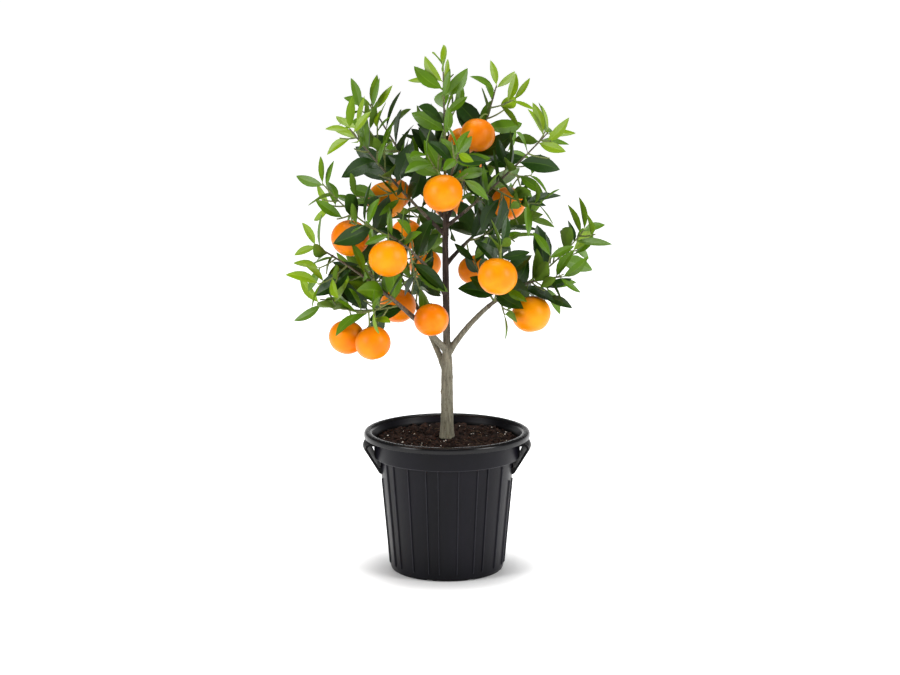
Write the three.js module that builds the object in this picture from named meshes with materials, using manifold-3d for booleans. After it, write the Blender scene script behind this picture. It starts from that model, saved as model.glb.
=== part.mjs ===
// Calamondin orange tree in a black plastic nursery pot, with ripe fruit.
// Millimetres, +Z up. The origin is the centre of the pot's underside, -Y is the front.
//
// A bough is stated by the height of its fork, the place of its tip and how far its middle bows off
// the straight line; a fruit by its centre and size. The arcs, the girths, the stalks and every leaf
// are worked out from these. The trunk and the bare part of each bough are solids of their own. Past
// its bare part a bough turns into a mass of foliage: the stem, its shoots, seeded sprigs, leaves
// and fruit, fused into one solid.
import * as THREE from 'three';
import { ConvexGeometry } from 'three/addons/geometries/ConvexGeometry.js';
import { mergeVertices } from 'three/addons/utils/BufferGeometryUtils.js';
import Module from 'manifold-3d';

const wasm = await Module();
wasm.setup();

// ---- driving dimensions -------------------------------------------------------------------

const GAP = 0.3; // clear space between neighbouring pieces
const CUT_GAP = 0.36; // how far the trunk is swollen to cut a bough clear of it
const WELD = 1e-3; // vertices closer than this are one
const SLIVER = 0.05; // edges shorter than this close up after a join
const DEGREE = Math.PI / 180;
const GOLDEN_ANGLE = 137.5; // turn from one leaf to the next round a twig

// Spacing between the seeds of one mass, of one limb and of one leaf, so that none repeats.
const SEEDS = { sprigs: 4096, masses: 256, limbs: 64, firstLeaf: 7 };

const POT = {
  segments: 36,
  wall: 2,
  height: 188,
  lipRadius: 110,
  footRadius: 70.5,
  bodyFoot: { radius: 75.3, z: 6 },
  bodyTop: { radius: 88.8, z: 152.5 },
  fin: { width: 1.4, proud: 1.8, bottomZ: 9, foot: 3, spacing: [17.5, 17, 10.5], first: -97.5, groups: 8 },
  notch: { count: 8, first: -109, sides: 8, radius: 4.6, sunk: 1.6, depth: 14, bite: 0.5 },
};

// Radius and height of each corner of the pot, up the outside, over the lip and down the inside.
const POT_SECTION = [
  [0, 0],
  [POT.footRadius, 0],
  [73.8, 1.8],
  [POT.bodyFoot.radius, POT.bodyFoot.z],
  [POT.bodyTop.radius, POT.bodyTop.z],
  // the collar stands well proud of the body
  [96.4, 153.8],
  [97, 176],
  [99.5, 183.5],
  // the lip turns out and down
  [101.8, 185.8],
  [108, 185.8],
  [108, 180],
  [POT.lipRadius, 180],
  [POT.lipRadius, 185],
  [107, POT.height],
  [102.2, POT.height],
  [100, 186],
  // the inside
  [94.6, 177],
  [94.3, 156],
  [87, 154.6],
  [POT.bodyFoot.radius - POT.wall, POT.bodyFoot.z],
  [71.5, 2.4],
  [0, 2.4],
];

// The potting mix fills the pot, domed a little towards the trunk.
const SOIL_TOP = 178;
const SOIL_SECTION = [
  [0, 2.7],
  [71.2, 2.7],
  [73, 6.1],
  [86.6, 154.9],
  [93.9, 156.4],
  [94.2, 176],
  [50, SOIL_TOP],
  [0, SOIL_TOP],
];

// A strap out from under the lip and back down to the body, with a pad at each end.
const HANDLE = { halfWidth: 30, footHalfWidth: 13, waistZ: 158, finTop: 126, clearAngle: 22 };
const HANDLE_PAD = { foot: 131, top: 141 };
const HANDLE_SECTION = [
  [97.3, 175.6],
  [97.3, 172.8],
  [107.4, 172.8],
  [109.6, 169.2],
  [93.2, 141.6],
  [bodyRadius(HANDLE_PAD.top) + GAP, HANDLE_PAD.top],
  [bodyRadius(HANDLE_PAD.foot) + GAP, HANDLE_PAD.foot],
  [90.2, 132.6],
  [110.9, 165.6],
  [111.9, 168.8],
  [110.6, 172.8],
  [106.5, 175.6],
  [97.3, 175.6],
];

const TRUNK = {
  foot: new THREE.Vector3(0, 0, SOIL_TOP + GAP),
  tip: new THREE.Vector3(-2.4, -2, 560),
  sway: 0.6,
  sides: 8,
  steps: 14,
  // radius at each height: the flare at the soil, and thinner past the forks of the stout boughs
  radii: [
    [178, 11],
    [185, 9.5],
    [200, 8.5],
    [280, 7.5],
    [305, 5],
    [450, 4],
    [475, 2.5],
    [560, 2],
  ],
  // stubs of pruned twigs: height, heading, size
  stubs: [
    [200, 262, 2.1],
    [226, 300, 2.4],
    [228, 250, 1.9],
    [238, 205, 2.2],
    [250, 320, 2.6],
  ],
};

const LIMB = {
  steps: 12,
  boughSides: 6,
  boughStep: 17,
  stemSides: 5,
  stemSteps: 6,
  twigSides: 3,
  shootSteps: 4,
  sprigSteps: 1,
  stalkSteps: 3,
  fewestSteps: 3,
  traces: 16, // marks along a limb that show which space is its own
  upright: 0.05, // a limb this close to upright leans its first leaf to the front
  shootSag: 0.08, // of a shoot's length
  sprigSag: 0.05,
  flare: 0.5,
  flareReach: 10,
  boughTaper: 0.62,
  widestFork: 0.84, // of the trunk's radius
};
// A bough from a higher fork is thinner, and its bare part shorter.
const FORKS = { heights: [290, 500], radius: [4.3, 2], bare: [90, 24] };
const TWIG = { root: 1.5, tip: 1.1 };
const SPRIG = { every: 50, first: 30, tipClear: 18, length: [20, 34], tilt: [42, 62], most: 16 };
const LEAF = {
  every: 18,
  firstOnLimb: 14,
  firstOnSprig: 9,
  youngReach: 60, // leaves this far from a tip are full grown
  length: [40, 57], // youngest and full grown
  vary: [0.85, 1.12],
  slim: [0.3, 0.43], // width over length, youngest and full grown
  outline: [[0.3, 0.9], [0.66, 0.84]], // how wide it is along its length
  tilt: [42, 70],
  roll: [-34, 34],
  arch: [0.05, 0.2],
  sideways: 1.3, // how far the upper side turns out, against up
  frontward: 60, // leaves this far behind the trunk still turn to the front
  keel: 1.3, // depth of the midrib near the root, thinning to the tip
  keelAt: 0.14,
  rootReach: 6,
  sunk: 0.8,
  tipCluster: 2, // the last two leaves of a limb open as a V
  tipEvery: 3,
  tipTilt: [28, 50],
  tipTurn: 180,
  turnVary: 60,
};
const FRUIT = {
  oblate: 0.94,
  stalk: 1.2,
  stalkRise: 0.12, // how far a stalk's middle stands up, of its length
  sunk: 0.93,
  drop: -70,
  below: 2, // a fruit hangs sooner from a limb above it than from one below
  meridians: 8,
  bands: 5,
};

// ---- the tree's limbs ---------------------------------------------------------------------

// fork: height on the trunk. tip: where a limb ends. bow: how far the middle of a bough stands off
// the straight line. at: the share of the bough where a shoot leaves it.
const BOUGHS = [
  {
    name: 'left_back', fork: 265, tip: [-90, 120, 415], bow: [0, -10, 15],
    shoots: [{ at: 0.7, tip: [-125, 125, 375] }, { at: 0.6, tip: [-40, 150, 425] }],
    fruit: [{ centre: [-65, 30, 350], size: 48 }, { centre: [-30, 155, 385], size: 44 }],
  },
  {
    name: 'left', fork: 295, tip: [-170, -60, 445], bow: [5, -40, 15],
    shoots: [
      { at: 0.45, tip: [-165, -60, 370] },
      { at: 0.55, tip: [-105, -25, 420] },
      { at: 0.8, tip: [-165, -90, 400] },
      { at: 0.5, tip: [-115, -105, 365] },
    ],
    fruit: [{ centre: [-130, -60, 325], size: 47 }, { centre: [-95, -100, 325], size: 46 }],
  },
  {
    name: 'right', fork: 290, tip: [150, -35, 400], bow: [-5, 0, 25],
    shoots: [
      { at: 0.5, tip: [70, -85, 450] },
      { at: 0.65, tip: [180, 10, 455] },
      { at: 0.5, tip: [35, -15, 420] },
      { at: 0.55, tip: [75, -35, 350] },
    ],
    fruit: [{ centre: [65, -90, 410], size: 51 }, { centre: [110, -30, 350], size: 51 }],
  },
  {
    name: 'mid_left', fork: 370, tip: [-75, -90, 465], bow: [5, 0, 5],
    shoots: [{ at: 0.9, tip: [-160, -55, 525] }, { at: 0.7, tip: [-35, -45, 385] }],
    fruit: [
      { centre: [-125, -60, 455], size: 49 },
      { centre: [-75, -100, 435], size: 50 },
      { centre: [-20, -70, 350], size: 45 },
    ],
  },
  {
    name: 'mid_right', fork: 410, tip: [85, 125, 470], bow: [-5, 0, 0],
    shoots: [
      { at: 0.55, tip: [110, 115, 455] },
      { at: 0.8, tip: [50, 125, 495] },
      { at: 0.4, tip: [60, 20, 455] },
    ],
    fruit: [{ centre: [35, 50, 395], size: 41 }],
  },
  {
    name: 'upper_left', fork: 450, tip: [-125, -45, 595], bow: [0, 0, -5],
    shoots: [{ at: 0.45, tip: [-125, -55, 510] }, { at: 0.7, tip: [-90, -15, 595] }],
    fruit: [{ centre: [-80, 5, 495], size: 50 }],
  },
  {
    name: 'upper_left_back', fork: 470, tip: [-100, 60, 615], bow: [0, 5, -5],
    shoots: [{ at: 0.45, tip: [-80, 90, 530] }],
    fruit: [{ centre: [-70, 95, 490], size: 44 }],
  },
  {
    name: 'upper_right', fork: 460, tip: [130, -45, 590], bow: [0, 0, -5],
    shoots: [{ at: 0.45, tip: [120, -60, 500] }, { at: 0.6, tip: [110, -10, 530] }],
    fruit: [{ centre: [80, 10, 490], size: 45 }],
  },
  {
    name: 'upper_right_back', fork: 465, tip: [65, 50, 640], bow: [5, 5, 0],
    shoots: [{ at: 0.4, tip: [80, 70, 550] }],
    fruit: [{ centre: [40, 10, 580], size: 46 }, { centre: [20, 60, 565], size: 38 }],
  },
  {
    name: 'back', fork: 420, tip: [5, 150, 510], bow: [0, 0, 0],
    shoots: [{ at: 0.35, tip: [-50, 120, 465] }, { at: 0.65, tip: [55, 150, 500] }],
    fruit: [{ centre: [-55, 130, 430], size: 43 }, { centre: [0, 160, 470], size: 44 }],
  },
  {
    name: 'back_top', fork: 510, tip: [-30, 100, 570], bow: [0, 0, 0],
    shoots: [{ at: 0.6, tip: [20, 105, 560] }],
    fruit: [{ centre: [25, 110, 525], size: 43 }],
  },
  {
    name: 'front', fork: 495, tip: [15, -95, 570], bow: [0, 0, 5],
    shoots: [{ at: 0.35, tip: [-25, -70, 565] }],
    fruit: [{ centre: [-5, -70, 515], size: 51 }],
  },
];
const LEADER = {
  name: 'leader', tip: [-5, -5, 672], bow: [0, 0, 0], radius: 2, bare: 0,
  shoots: [],
  fruit: [],
};

// ---- small tools --------------------------------------------------------------------------

// A repeatable stream of numbers between 0 and 1.
function draws(seed) {
  let state = seed >>> 0;
  return () => {
    state = (state + 0x6d2b79f5) >>> 0;
    let mixed = Math.imul(state ^ (state >>> 15), state | 1);
    mixed ^= mixed + Math.imul(mixed ^ (mixed >>> 7), mixed | 61);
    return ((mixed ^ (mixed >>> 14)) >>> 0) / 2 ** 32;
  };
}

function blend(range, share) {
  return range[0] + (range[1] - range[0]) * share;
}

function bearing(heading, rise) {
  const level = Math.cos(rise * DEGREE);
  return new THREE.Vector3(
    Math.cos(heading * DEGREE) * level,
    Math.sin(heading * DEGREE) * level,
    Math.sin(rise * DEGREE),
  );
}

function solidOf(geometry) {
  const bare = new THREE.BufferGeometry();
  bare.setAttribute('position', geometry.getAttribute('position'));
  bare.setIndex(geometry.index);
  const merged = mergeVertices(bare, WELD);
  const vertProperties = new Float32Array(merged.getAttribute('position').array);
  const triVerts = new Uint32Array(merged.index.array);
  return new wasm.Manifold(new wasm.Mesh({ numProp: 3, vertProperties, triVerts }));
}

function geometryOf(solid) {
  const mesh = solid.simplify(SLIVER).getMesh();
  const geometry = new THREE.BufferGeometry();
  geometry.setAttribute('position', new THREE.BufferAttribute(mesh.vertProperties, mesh.numProp));
  geometry.setIndex(new THREE.BufferAttribute(mesh.triVerts, 1));
  geometry.computeVertexNormals();
  return geometry;
}

// ---- limbs --------------------------------------------------------------------------------

// A limb's course from its root to its tip. The bow is how far its middle is off the straight line.
class Course extends THREE.QuadraticBezierCurve3 {
  constructor(start, tip, bow) {
    super(start, start.clone().lerp(tip, 0.5).addScaledVector(bow, 2), tip);
    this.reach = this.getLength();
  }
}

function sagging(start, tip, share) {
  return new Course(start, tip, new THREE.Vector3(0, 0, -share * start.distanceTo(tip)));
}

// A round tapering bar bent along part of a curve. A tip radius of 0 ends it in a point.
function bentBar(curve, from, to, sides, steps, radiusAt) {
  const pointed = radiusAt(1) === 0;
  const bar = new THREE.CylinderGeometry(pointed ? 0 : 1, 1, 1, sides, steps);
  const place = bar.getAttribute('position');
  const along = new THREE.Vector3();
  const side = new THREE.Vector3();
  const other = new THREE.Vector3();
  const reference = new THREE.Vector3(0.36, 0.8, 0.48);
  for (let i = 0; i < place.count; i++) {
    const share = place.getY(i) + 0.5;
    const position = from + (to - from) * share;
    const centre = curve.getPointAt(position);
    curve.getTangentAt(position, along);
    side.crossVectors(along, reference).normalize();
    other.crossVectors(side, along);
    const spread = Math.hypot(place.getX(i), place.getZ(i));
    const scale = spread > 0 ? radiusAt(share) / spread : 0;
    centre.addScaledVector(side, place.getX(i) * scale);
    centre.addScaledVector(other, place.getZ(i) * scale);
    place.setXYZ(i, centre.x, centre.y, centre.z);
  }
  return solidOf(bar);
}

function trunkCurve() {
  const points = [];
  for (let step = 0; step <= LIMB.steps; step++) {
    const share = step / LIMB.steps;
    const point = TRUNK.foot.clone().lerp(TRUNK.tip, share);
    point.x += TRUNK.sway * Math.sin(share * Math.PI * 2);
    point.y -= TRUNK.sway * Math.sin(share * Math.PI);
    points.push(point);
  }
  return new THREE.CatmullRomCurve3(points);
}

function trunkRadius(height) {
  const row = Math.max(1, TRUNK.radii.findIndex(([z]) => z > height));
  const last = TRUNK.radii.length - 1;
  const upper = height >= TRUNK.radii[last][0] ? last : row;
  const [z0, r0] = TRUNK.radii[upper - 1];
  const [z1, r1] = TRUNK.radii[upper];
  return THREE.MathUtils.mapLinear(THREE.MathUtils.clamp(height, z0, z1), z0, z1, r0, r1);
}

function trunkSolid(curve, swell) {
  const radiusAt = (share) => trunkRadius(curve.getPointAt(share).z) + swell;
  return bentBar(curve, 0, 1, TRUNK.sides, TRUNK.steps, radiusAt);
}

function stubbedTrunk(curve) {
  let trunk = trunkSolid(curve, 0);
  for (const [height, heading, size] of TRUNK.stubs) {
    const share = (height - TRUNK.foot.z) / (TRUNK.tip.z - TRUNK.foot.z);
    const centre = curve.getPointAt(share).addScaledVector(bearing(heading, 0), trunkRadius(height));
    const stub = new THREE.OctahedronGeometry(size, 0);
    stub.translate(centre.x, centre.y, centre.z);
    trunk = trunk.add(solidOf(stub));
  }
  return trunk;
}

// ---- what is already in place -------------------------------------------------------------

const placed = [];

function boxOf(solid) {
  const { min, max } = solid.boundingBox();
  return new THREE.Box3(new THREE.Vector3(...min), new THREE.Vector3(...max));
}

function settle(solid, owner) {
  placed.push({ solid, owner, box: boxOf(solid) });
  return solid;
}

// Whether a solid would touch anything in place whose owner counts.
function touches(solid, counts) {
  const box = boxOf(solid);
  return placed.some((other) => (
    counts(other.owner) && box.intersectsBox(other.box) && !solid.intersect(other.solid).isEmpty()
  ));
}

// ---- leaves and fruit ---------------------------------------------------------------------

// A leaf that lies along +X with its root at 0: it arches down to its tip, flat across on top,
// over the keel of its midrib.
function archedLeaf(length, width, arch) {
  const drop = (x) => -arch * length * x * x;
  const points = [[0, 0, 0], [1, 0, 0], [LEAF.keelAt, 0, -LEAF.keel]];
  for (const [x, share] of LEAF.outline) {
    points.push([x, (share * width) / 2, 0], [x, (-share * width) / 2, 0]);
  }
  return new ConvexGeometry(points.map(([x, y, z]) => new THREE.Vector3(x * length, y, z + drop(x))));
}

// Where a leaf's upper side looks: up, and to that side of the leaf which faces out of the crown.
function litSide(root, direction, roll) {
  const facing = new THREE.Vector3(0, 0, 1).cross(direction).setLength(LEAF.sideways);
  if (facing.x * root.x + facing.y * (root.y - LEAF.frontward) < 0) {
    facing.negate();
  }
  facing.z += 1;
  facing.addScaledVector(direction, -facing.dot(direction)).normalize();
  return facing.applyAxisAngle(direction, roll * DEGREE);
}

function leafSolid({ root, direction, facing, length, width, arch }) {
  const upper = facing.clone().addScaledVector(direction, -facing.dot(direction)).normalize();
  const across = new THREE.Vector3().crossVectors(upper, direction);
  const pose = new THREE.Matrix4().makeBasis(direction, across, upper).setPosition(root);
  return solidOf(archedLeaf(length, width, arch).applyMatrix4(pose));
}

// The part of a leaf past its root, to test it against the leaves beside it.
function leafBlade(leaf) {
  const root = leaf.root.clone().addScaledVector(leaf.direction, LEAF.rootReach);
  return leafSolid({ ...leaf, root, length: leaf.length - LEAF.rootReach });
}

// The direction that leans away from a limb by a tilt, at an angle round it.
function leaning(along, tilt, turn) {
  const away = new THREE.Vector3(0, 0, 1).addScaledVector(along, -along.z);
  if (away.lengthSq() < LIMB.upright) {
    away.set(0, -1, 0).addScaledVector(along, along.y);
  }
  away.normalize().applyAxisAngle(along, turn * DEGREE);
  const lean = along.clone().multiplyScalar(Math.cos(tilt * DEGREE));
  return lean.addScaledVector(away, Math.sin(tilt * DEGREE));
}

// The place on a mass's limbs that a fruit hangs from: the nearest, and sooner above it than below.
function hangingPlace(limbs, { centre, size }) {
  const crest = new THREE.Vector3(...centre);
  crest.z += size / 2;
  const places = limbs.flatMap((limb) => limb.marks.map((root) => ({ limb, root })));
  const cost = ({ root }) => root.distanceTo(crest) + FRUIT.below * Math.max(0, crest.z - root.z);
  return places.reduce((best, place) => (cost(place) < cost(best) ? place : best));
}

function fruitSolid(root, { centre, size }) {
  const middle = new THREE.Vector3(...centre);
  const heading = Math.atan2(middle.y - root.y, middle.x - root.x) / DEGREE;
  const hang = bearing(heading, FRUIT.drop);
  const crown = middle.clone().addScaledVector(hang, (-size / 2) * FRUIT.sunk);
  const ball = new THREE.SphereGeometry(size / 2, FRUIT.meridians, FRUIT.bands);
  ball.rotateX(Math.PI / 2);
  ball.scale(1, 1, FRUIT.oblate);
  ball.lookAt(hang);
  ball.translate(middle.x, middle.y, middle.z);
  const stalk = sagging(root, crown, -FRUIT.stalkRise);
  const stalkBar = bentBar(stalk, 0, 1, LIMB.twigSides, LIMB.stalkSteps, () => FRUIT.stalk);
  return stalkBar.add(solidOf(ball));
}

// ---- a mass of foliage: one stem and all that grows from it --------------------------------

function twigSolid(curve, steps) {
  return bentBar(curve, 0, 1, LIMB.twigSides, steps, (share) => blend([TWIG.root, TWIG.tip], share));
}

class Mass {
  constructor(plan, number, curve, from) {
    this.plan = plan;
    this.number = number;
    this.limbs = [{ curve, from, id: `${plan.name}.stem` }];
    this.solids = [];
  }

  grow(solid, owner) {
    this.solids.push(settle(solid, owner));
  }

  addStem(rootRadius) {
    const [stem] = this.limbs;
    const radiusAt = (share) => blend([rootRadius, TWIG.tip], share);
    this.grow(bentBar(stem.curve, stem.from, 1, LIMB.stemSides, LIMB.stemSteps, radiusAt), stem.id);
  }

  addShoots() {
    this.plan.shoots.forEach((shoot, index) => {
      const root = this.limbs[0].curve.getPointAt(shoot.at);
      const curve = sagging(root, new THREE.Vector3(...shoot.tip), LIMB.shootSag);
      const id = `${this.plan.name}.shoot${index}`;
      this.limbs.push({ curve, from: 0, id });
      this.grow(twigSolid(curve, LIMB.shootSteps), id);
    });
    for (const limb of this.limbs) {
      const shares = Array.from({ length: LIMB.traces + 1 }, (_, i) => i / LIMB.traces);
      limb.marks = shares.map((share) => limb.curve.getPointAt(blend([limb.from, 1], share)));
    }
    this.traces = this.limbs.flatMap(({ marks }) => marks);
  }

  addFruit() {
    for (const fruit of this.plan.fruit) {
      const { limb, root } = hangingPlace(this.limbs, fruit);
      const solid = fruitSolid(root, fruit);
      if (!touches(solid, (owner) => owner !== limb.id)) {
        this.grow(solid, `${limb.id}.fruit`);
      }
    }
  }

  nearness(point) {
    return Math.min(...this.traces.map((trace) => trace.distanceTo(point)));
  }

  // Whether a point is in this mass's own space: nearer to its limbs than to any other mass's.
  owns(point) {
    const own = this.nearness(point);
    return masses.every((other) => other === this || other.nearness(point) > own);
  }

  // Short seeded twigs along the stem and the shoots.
  addSprigs() {
    const parents = [...this.limbs];
    parents.forEach((parent, parentNumber) => {
      const { curve: parentLine, from } = parent;
      const { reach } = parentLine;
      let rank = 0;
      for (let run = from * reach + SPRIG.first; run < reach - SPRIG.tipClear; run += SPRIG.every) {
        rank += 1;
        const serial = (parentNumber + 1) * SPRIG.most + rank;
        const next = draws(this.number * SEEDS.sprigs + serial);
        const turn = rank * GOLDEN_ANGLE + 360 * next();
        const lean = leaning(parentLine.getTangentAt(run / reach), blend(SPRIG.tilt, next()), turn);
        const root = parentLine.getPointAt(run / reach);
        const tip = root.clone().addScaledVector(lean, blend(SPRIG.length, next()));
        const curve = sagging(root, tip, LIMB.sprigSag);
        const sprig = twigSolid(curve, LIMB.sprigSteps);
        if (this.owns(curve.getPointAt(1)) && !touches(sprig, (owner) => owner !== parent.id)) {
          const id = `${this.plan.name}.sprig${serial}`;
          this.grow(sprig, id);
          this.limbs.push({ curve, from: 0, id, serial });
        }
      }
    });
  }

  addLeaf(limb, leaf) {
    const solid = leafSolid(leaf);
    const kin = `${limb.id}.leaf`;
    if (touches(solid, (owner) => owner !== limb.id && owner !== kin)) {
      return;
    }
    if (touches(leafBlade(leaf), (owner) => owner === kin)) {
      return;
    }
    this.grow(solid, kin);
  }

  addLeaves() {
    this.limbs.forEach((limb, limbNumber) => {
      const { curve, from, serial = limbNumber } = limb;
      const { reach } = curve;
      const start = from * reach + (serial === limbNumber ? LEAF.firstOnLimb : LEAF.firstOnSprig);
      const runs = [];
      for (let run = reach; run > start; ) {
        runs.push(run);
        run -= runs.length < LEAF.tipCluster ? LEAF.tipEvery : LEAF.every;
      }
      runs.forEach((run, rank) => {
        const seed = (this.number * SEEDS.masses + serial) * SEEDS.limbs + rank + SEEDS.firstLeaf;
        const next = draws(seed);
        const age = THREE.MathUtils.clamp((reach - run) / LEAF.youngReach, 0, 1);
        const atTip = rank < LEAF.tipCluster;
        const tilt = blend(atTip ? LEAF.tipTilt : LEAF.tilt, next());
        const turn = rank * (atTip ? LEAF.tipTurn : GOLDEN_ANGLE) + LEAF.turnVary * (next() - 0.5);
        const direction = leaning(curve.getTangentAt(run / reach), tilt, turn);
        const root = curve.getPointAt(run / reach).addScaledVector(direction, -LEAF.sunk);
        const length = blend(LEAF.length, age) * blend(LEAF.vary, next());
        const width = length * blend(LEAF.slim, age);
        const facing = litSide(root, direction, blend(LEAF.roll, next()));
        if (this.owns(root.clone().addScaledVector(direction, length / 2))) {
          this.addLeaf(limb, { root, direction, facing, length, width, arch: blend(LEAF.arch, next()) });
        }
      });
    });
  }

  // The mass as one body: a scrap that hangs on by less than a sliver is dropped.
  whole() {
    return largestPiece(this.solids.reduce((joined, solid) => joined.add(solid)).simplify(SLIVER));
  }
}

// ---- growing the tree ---------------------------------------------------------------------

const trunkLine = trunkCurve();
const trunk = settle(stubbedTrunk(trunkLine), 'trunk');
const swollenTrunk = trunkSolid(trunkLine, CUT_GAP);

function pointOnTrunk(height) {
  return trunkLine.getPointAt((height - TRUNK.foot.z) / (TRUNK.tip.z - TRUNK.foot.z));
}

function largestPiece(solid) {
  return solid.decompose().reduce((best, piece) => (piece.volume() > best.volume() ? piece : best));
}

function byFork(fork, range) {
  const [low, high] = FORKS.heights;
  return THREE.MathUtils.mapLinear(THREE.MathUtils.clamp(fork, low, high), low, high, ...range);
}

// The bare part of a bough: it swells where it leaves the trunk and is cut clear of it.
function boughSolid({ fork, radius, bare }, curve) {
  const run = bare * curve.reach;
  const steps = Math.max(LIMB.fewestSteps, Math.round(run / LIMB.boughStep));
  const widest = LIMB.widestFork * trunkRadius(fork);
  const radiusAt = (share) => {
    const swell = LIMB.flare * Math.exp(-(share * run) / LIMB.flareReach);
    return Math.min(widest, radius * (1 + swell - LIMB.boughTaper * share * bare));
  };
  return largestPiece(bentBar(curve, 0, bare, LIMB.boughSides, steps, radiusAt).subtract(swollenTrunk));
}

function courseOf(start, { tip, bow }) {
  return new Course(start, new THREE.Vector3(...tip), new THREE.Vector3(...bow));
}

const boughs = [];
const masses = [];
BOUGHS.forEach((sizes, number) => {
  const curve = courseOf(pointOnTrunk(sizes.fork), sizes);
  const radius = byFork(sizes.fork, FORKS.radius);
  const bare = byFork(sizes.fork, FORKS.bare) / curve.reach;
  const plan = { ...sizes, radius, bare };
  boughs.push({ name: `bough_${plan.name}`, solid: settle(boughSolid(plan, curve), 'bough') });
  masses.push(new Mass(plan, number, curve, bare + GAP / curve.reach));
});
const leaderRoot = TRUNK.tip.clone().add(new THREE.Vector3(0, 0, GAP));
masses.push(new Mass(LEADER, BOUGHS.length, courseOf(leaderRoot, LEADER), 0));

for (const mass of masses) {
  const { radius, bare } = mass.plan;
  mass.addStem(radius * (1 - LIMB.boughTaper * bare));
  mass.addShoots();
}
masses.forEach((mass) => mass.addFruit());
masses.forEach((mass) => mass.addSprigs());
masses.forEach((mass) => mass.addLeaves());

// ---- pot, soil and handles ----------------------------------------------------------------

function turned(section) {
  const outline = section.map(([radius, z]) => new THREE.Vector2(radius, z));
  return solidOf(new THREE.LatheGeometry(outline, POT.segments).rotateX(Math.PI / 2));
}

// The body's radius at a height between its foot and its collar.
function bodyRadius(z) {
  const { bodyFoot, bodyTop } = POT;
  return THREE.MathUtils.mapLinear(z, bodyFoot.z, bodyTop.z, bodyFoot.radius, bodyTop.radius);
}

function finSolid(azimuth, topZ) {
  const { width, proud, bottomZ, foot } = POT.fin;
  const inset = POT.wall / 2;
  const outline = new THREE.Shape([
    new THREE.Vector2(bodyRadius(bottomZ) - inset, bottomZ),
    new THREE.Vector2(bodyRadius(bottomZ) + proud, bottomZ + foot),
    new THREE.Vector2(bodyRadius(topZ) + proud, topZ),
    new THREE.Vector2(bodyRadius(topZ) - inset, topZ),
  ]);
  const fin = new THREE.ExtrudeGeometry(outline, { depth: width, bevelEnabled: false });
  fin.translate(0, 0, -width / 2);
  fin.rotateX(Math.PI / 2);
  fin.rotateZ(azimuth * DEGREE);
  return solidOf(fin);
}

// Thin upright fins in groups of three round the body.
function finAzimuths() {
  const { spacing, first, groups } = POT.fin;
  const azimuths = [];
  for (let group = 0; group < groups; group++) {
    let azimuth = first + (group * 360) / groups;
    for (const step of spacing) {
      azimuths.push(azimuth);
      azimuth += step;
    }
  }
  return azimuths;
}

function isUnderHandle(azimuth) {
  return Math.abs(Math.cos(azimuth * DEGREE)) > Math.cos(HANDLE.clearAngle * DEGREE);
}

function potSolid() {
  const { notch, wall, bodyTop, footRadius } = POT;
  let pot = turned(POT_SECTION);
  for (const azimuth of finAzimuths()) {
    pot = pot.add(finSolid(azimuth, isUnderHandle(azimuth) ? HANDLE.finTop : bodyTop.z + wall / 2));
  }
  for (let i = 0; i < notch.count; i++) {
    const bore = new THREE.CylinderGeometry(notch.radius, notch.radius, notch.depth, notch.sides);
    bore.rotateZ(Math.PI / 2);
    bore.translate(footRadius + notch.depth / 2 - notch.bite, 0, -notch.sunk);
    bore.rotateZ((notch.first + (i * 360) / notch.count) * DEGREE);
    pot = pot.subtract(solidOf(bore));
  }
  return pot;
}

// A finger grip: the strap curves with the pot and narrows to its foot.
function handleSolid(side) {
  const { halfWidth, footHalfWidth, waistZ } = HANDLE;
  const outline = new THREE.Shape([
    new THREE.Vector2(-footHalfWidth, HANDLE_PAD.foot),
    new THREE.Vector2(footHalfWidth, HANDLE_PAD.foot),
    new THREE.Vector2(halfWidth, waistZ),
    new THREE.Vector2(halfWidth, POT.height),
    new THREE.Vector2(-halfWidth, POT.height),
    new THREE.Vector2(-halfWidth, waistZ),
  ]);
  const block = new THREE.ExtrudeGeometry(outline, { depth: POT.lipRadius, bevelEnabled: false });
  block.rotateX(Math.PI / 2);
  block.rotateZ((side * Math.PI) / 2);
  block.translate(side * POT.footRadius, 0, 0);
  return turned(HANDLE_SECTION).intersect(solidOf(block));
}

// ---- the scene graph ----------------------------------------------------------------------

const MATERIALS = {
  pot: new THREE.MeshStandardMaterial({ color: '#26262a', roughness: 0.42, metalness: 0 }),
  handle: new THREE.MeshStandardMaterial({ color: '#17171a', roughness: 0.45, metalness: 0 }),
  soil: new THREE.MeshStandardMaterial({ color: '#241610', roughness: 0.95, metalness: 0 }),
  trunk: new THREE.MeshStandardMaterial({ color: '#6b6557', roughness: 0.85, metalness: 0 }),
  bough: new THREE.MeshStandardMaterial({ color: '#4f453b', roughness: 0.8, metalness: 0 }),
  foliage: new THREE.MeshStandardMaterial({ color: '#2f5e22', roughness: 0.45, metalness: 0 }),
};

function named(name, solid, material) {
  const mesh = new THREE.Mesh(geometryOf(solid), MATERIALS[material].clone());
  mesh.name = name;
  return mesh;
}

const tree = new THREE.Group();
tree.add(named('pot', potSolid(), 'pot'));
tree.add(named('soil', turned(SOIL_SECTION), 'soil'));
tree.add(named('handle_left', handleSolid(-1), 'handle'));
tree.add(named('handle_right', handleSolid(1), 'handle'));
tree.add(named('trunk', trunk, 'trunk'));
for (const { name, solid } of boughs) {
  tree.add(named(name, solid, 'bough'));
}
for (const mass of masses) {
  tree.add(named(`foliage_${mass.plan.name}`, mass.whole(), 'foliage'));
}

export default tree;
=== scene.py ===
import itertools
import math

import bmesh
import bpy
import numpy as np
from mathutils import Matrix, Vector, noise
from mathutils.bvhtree import BVHTree


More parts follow.
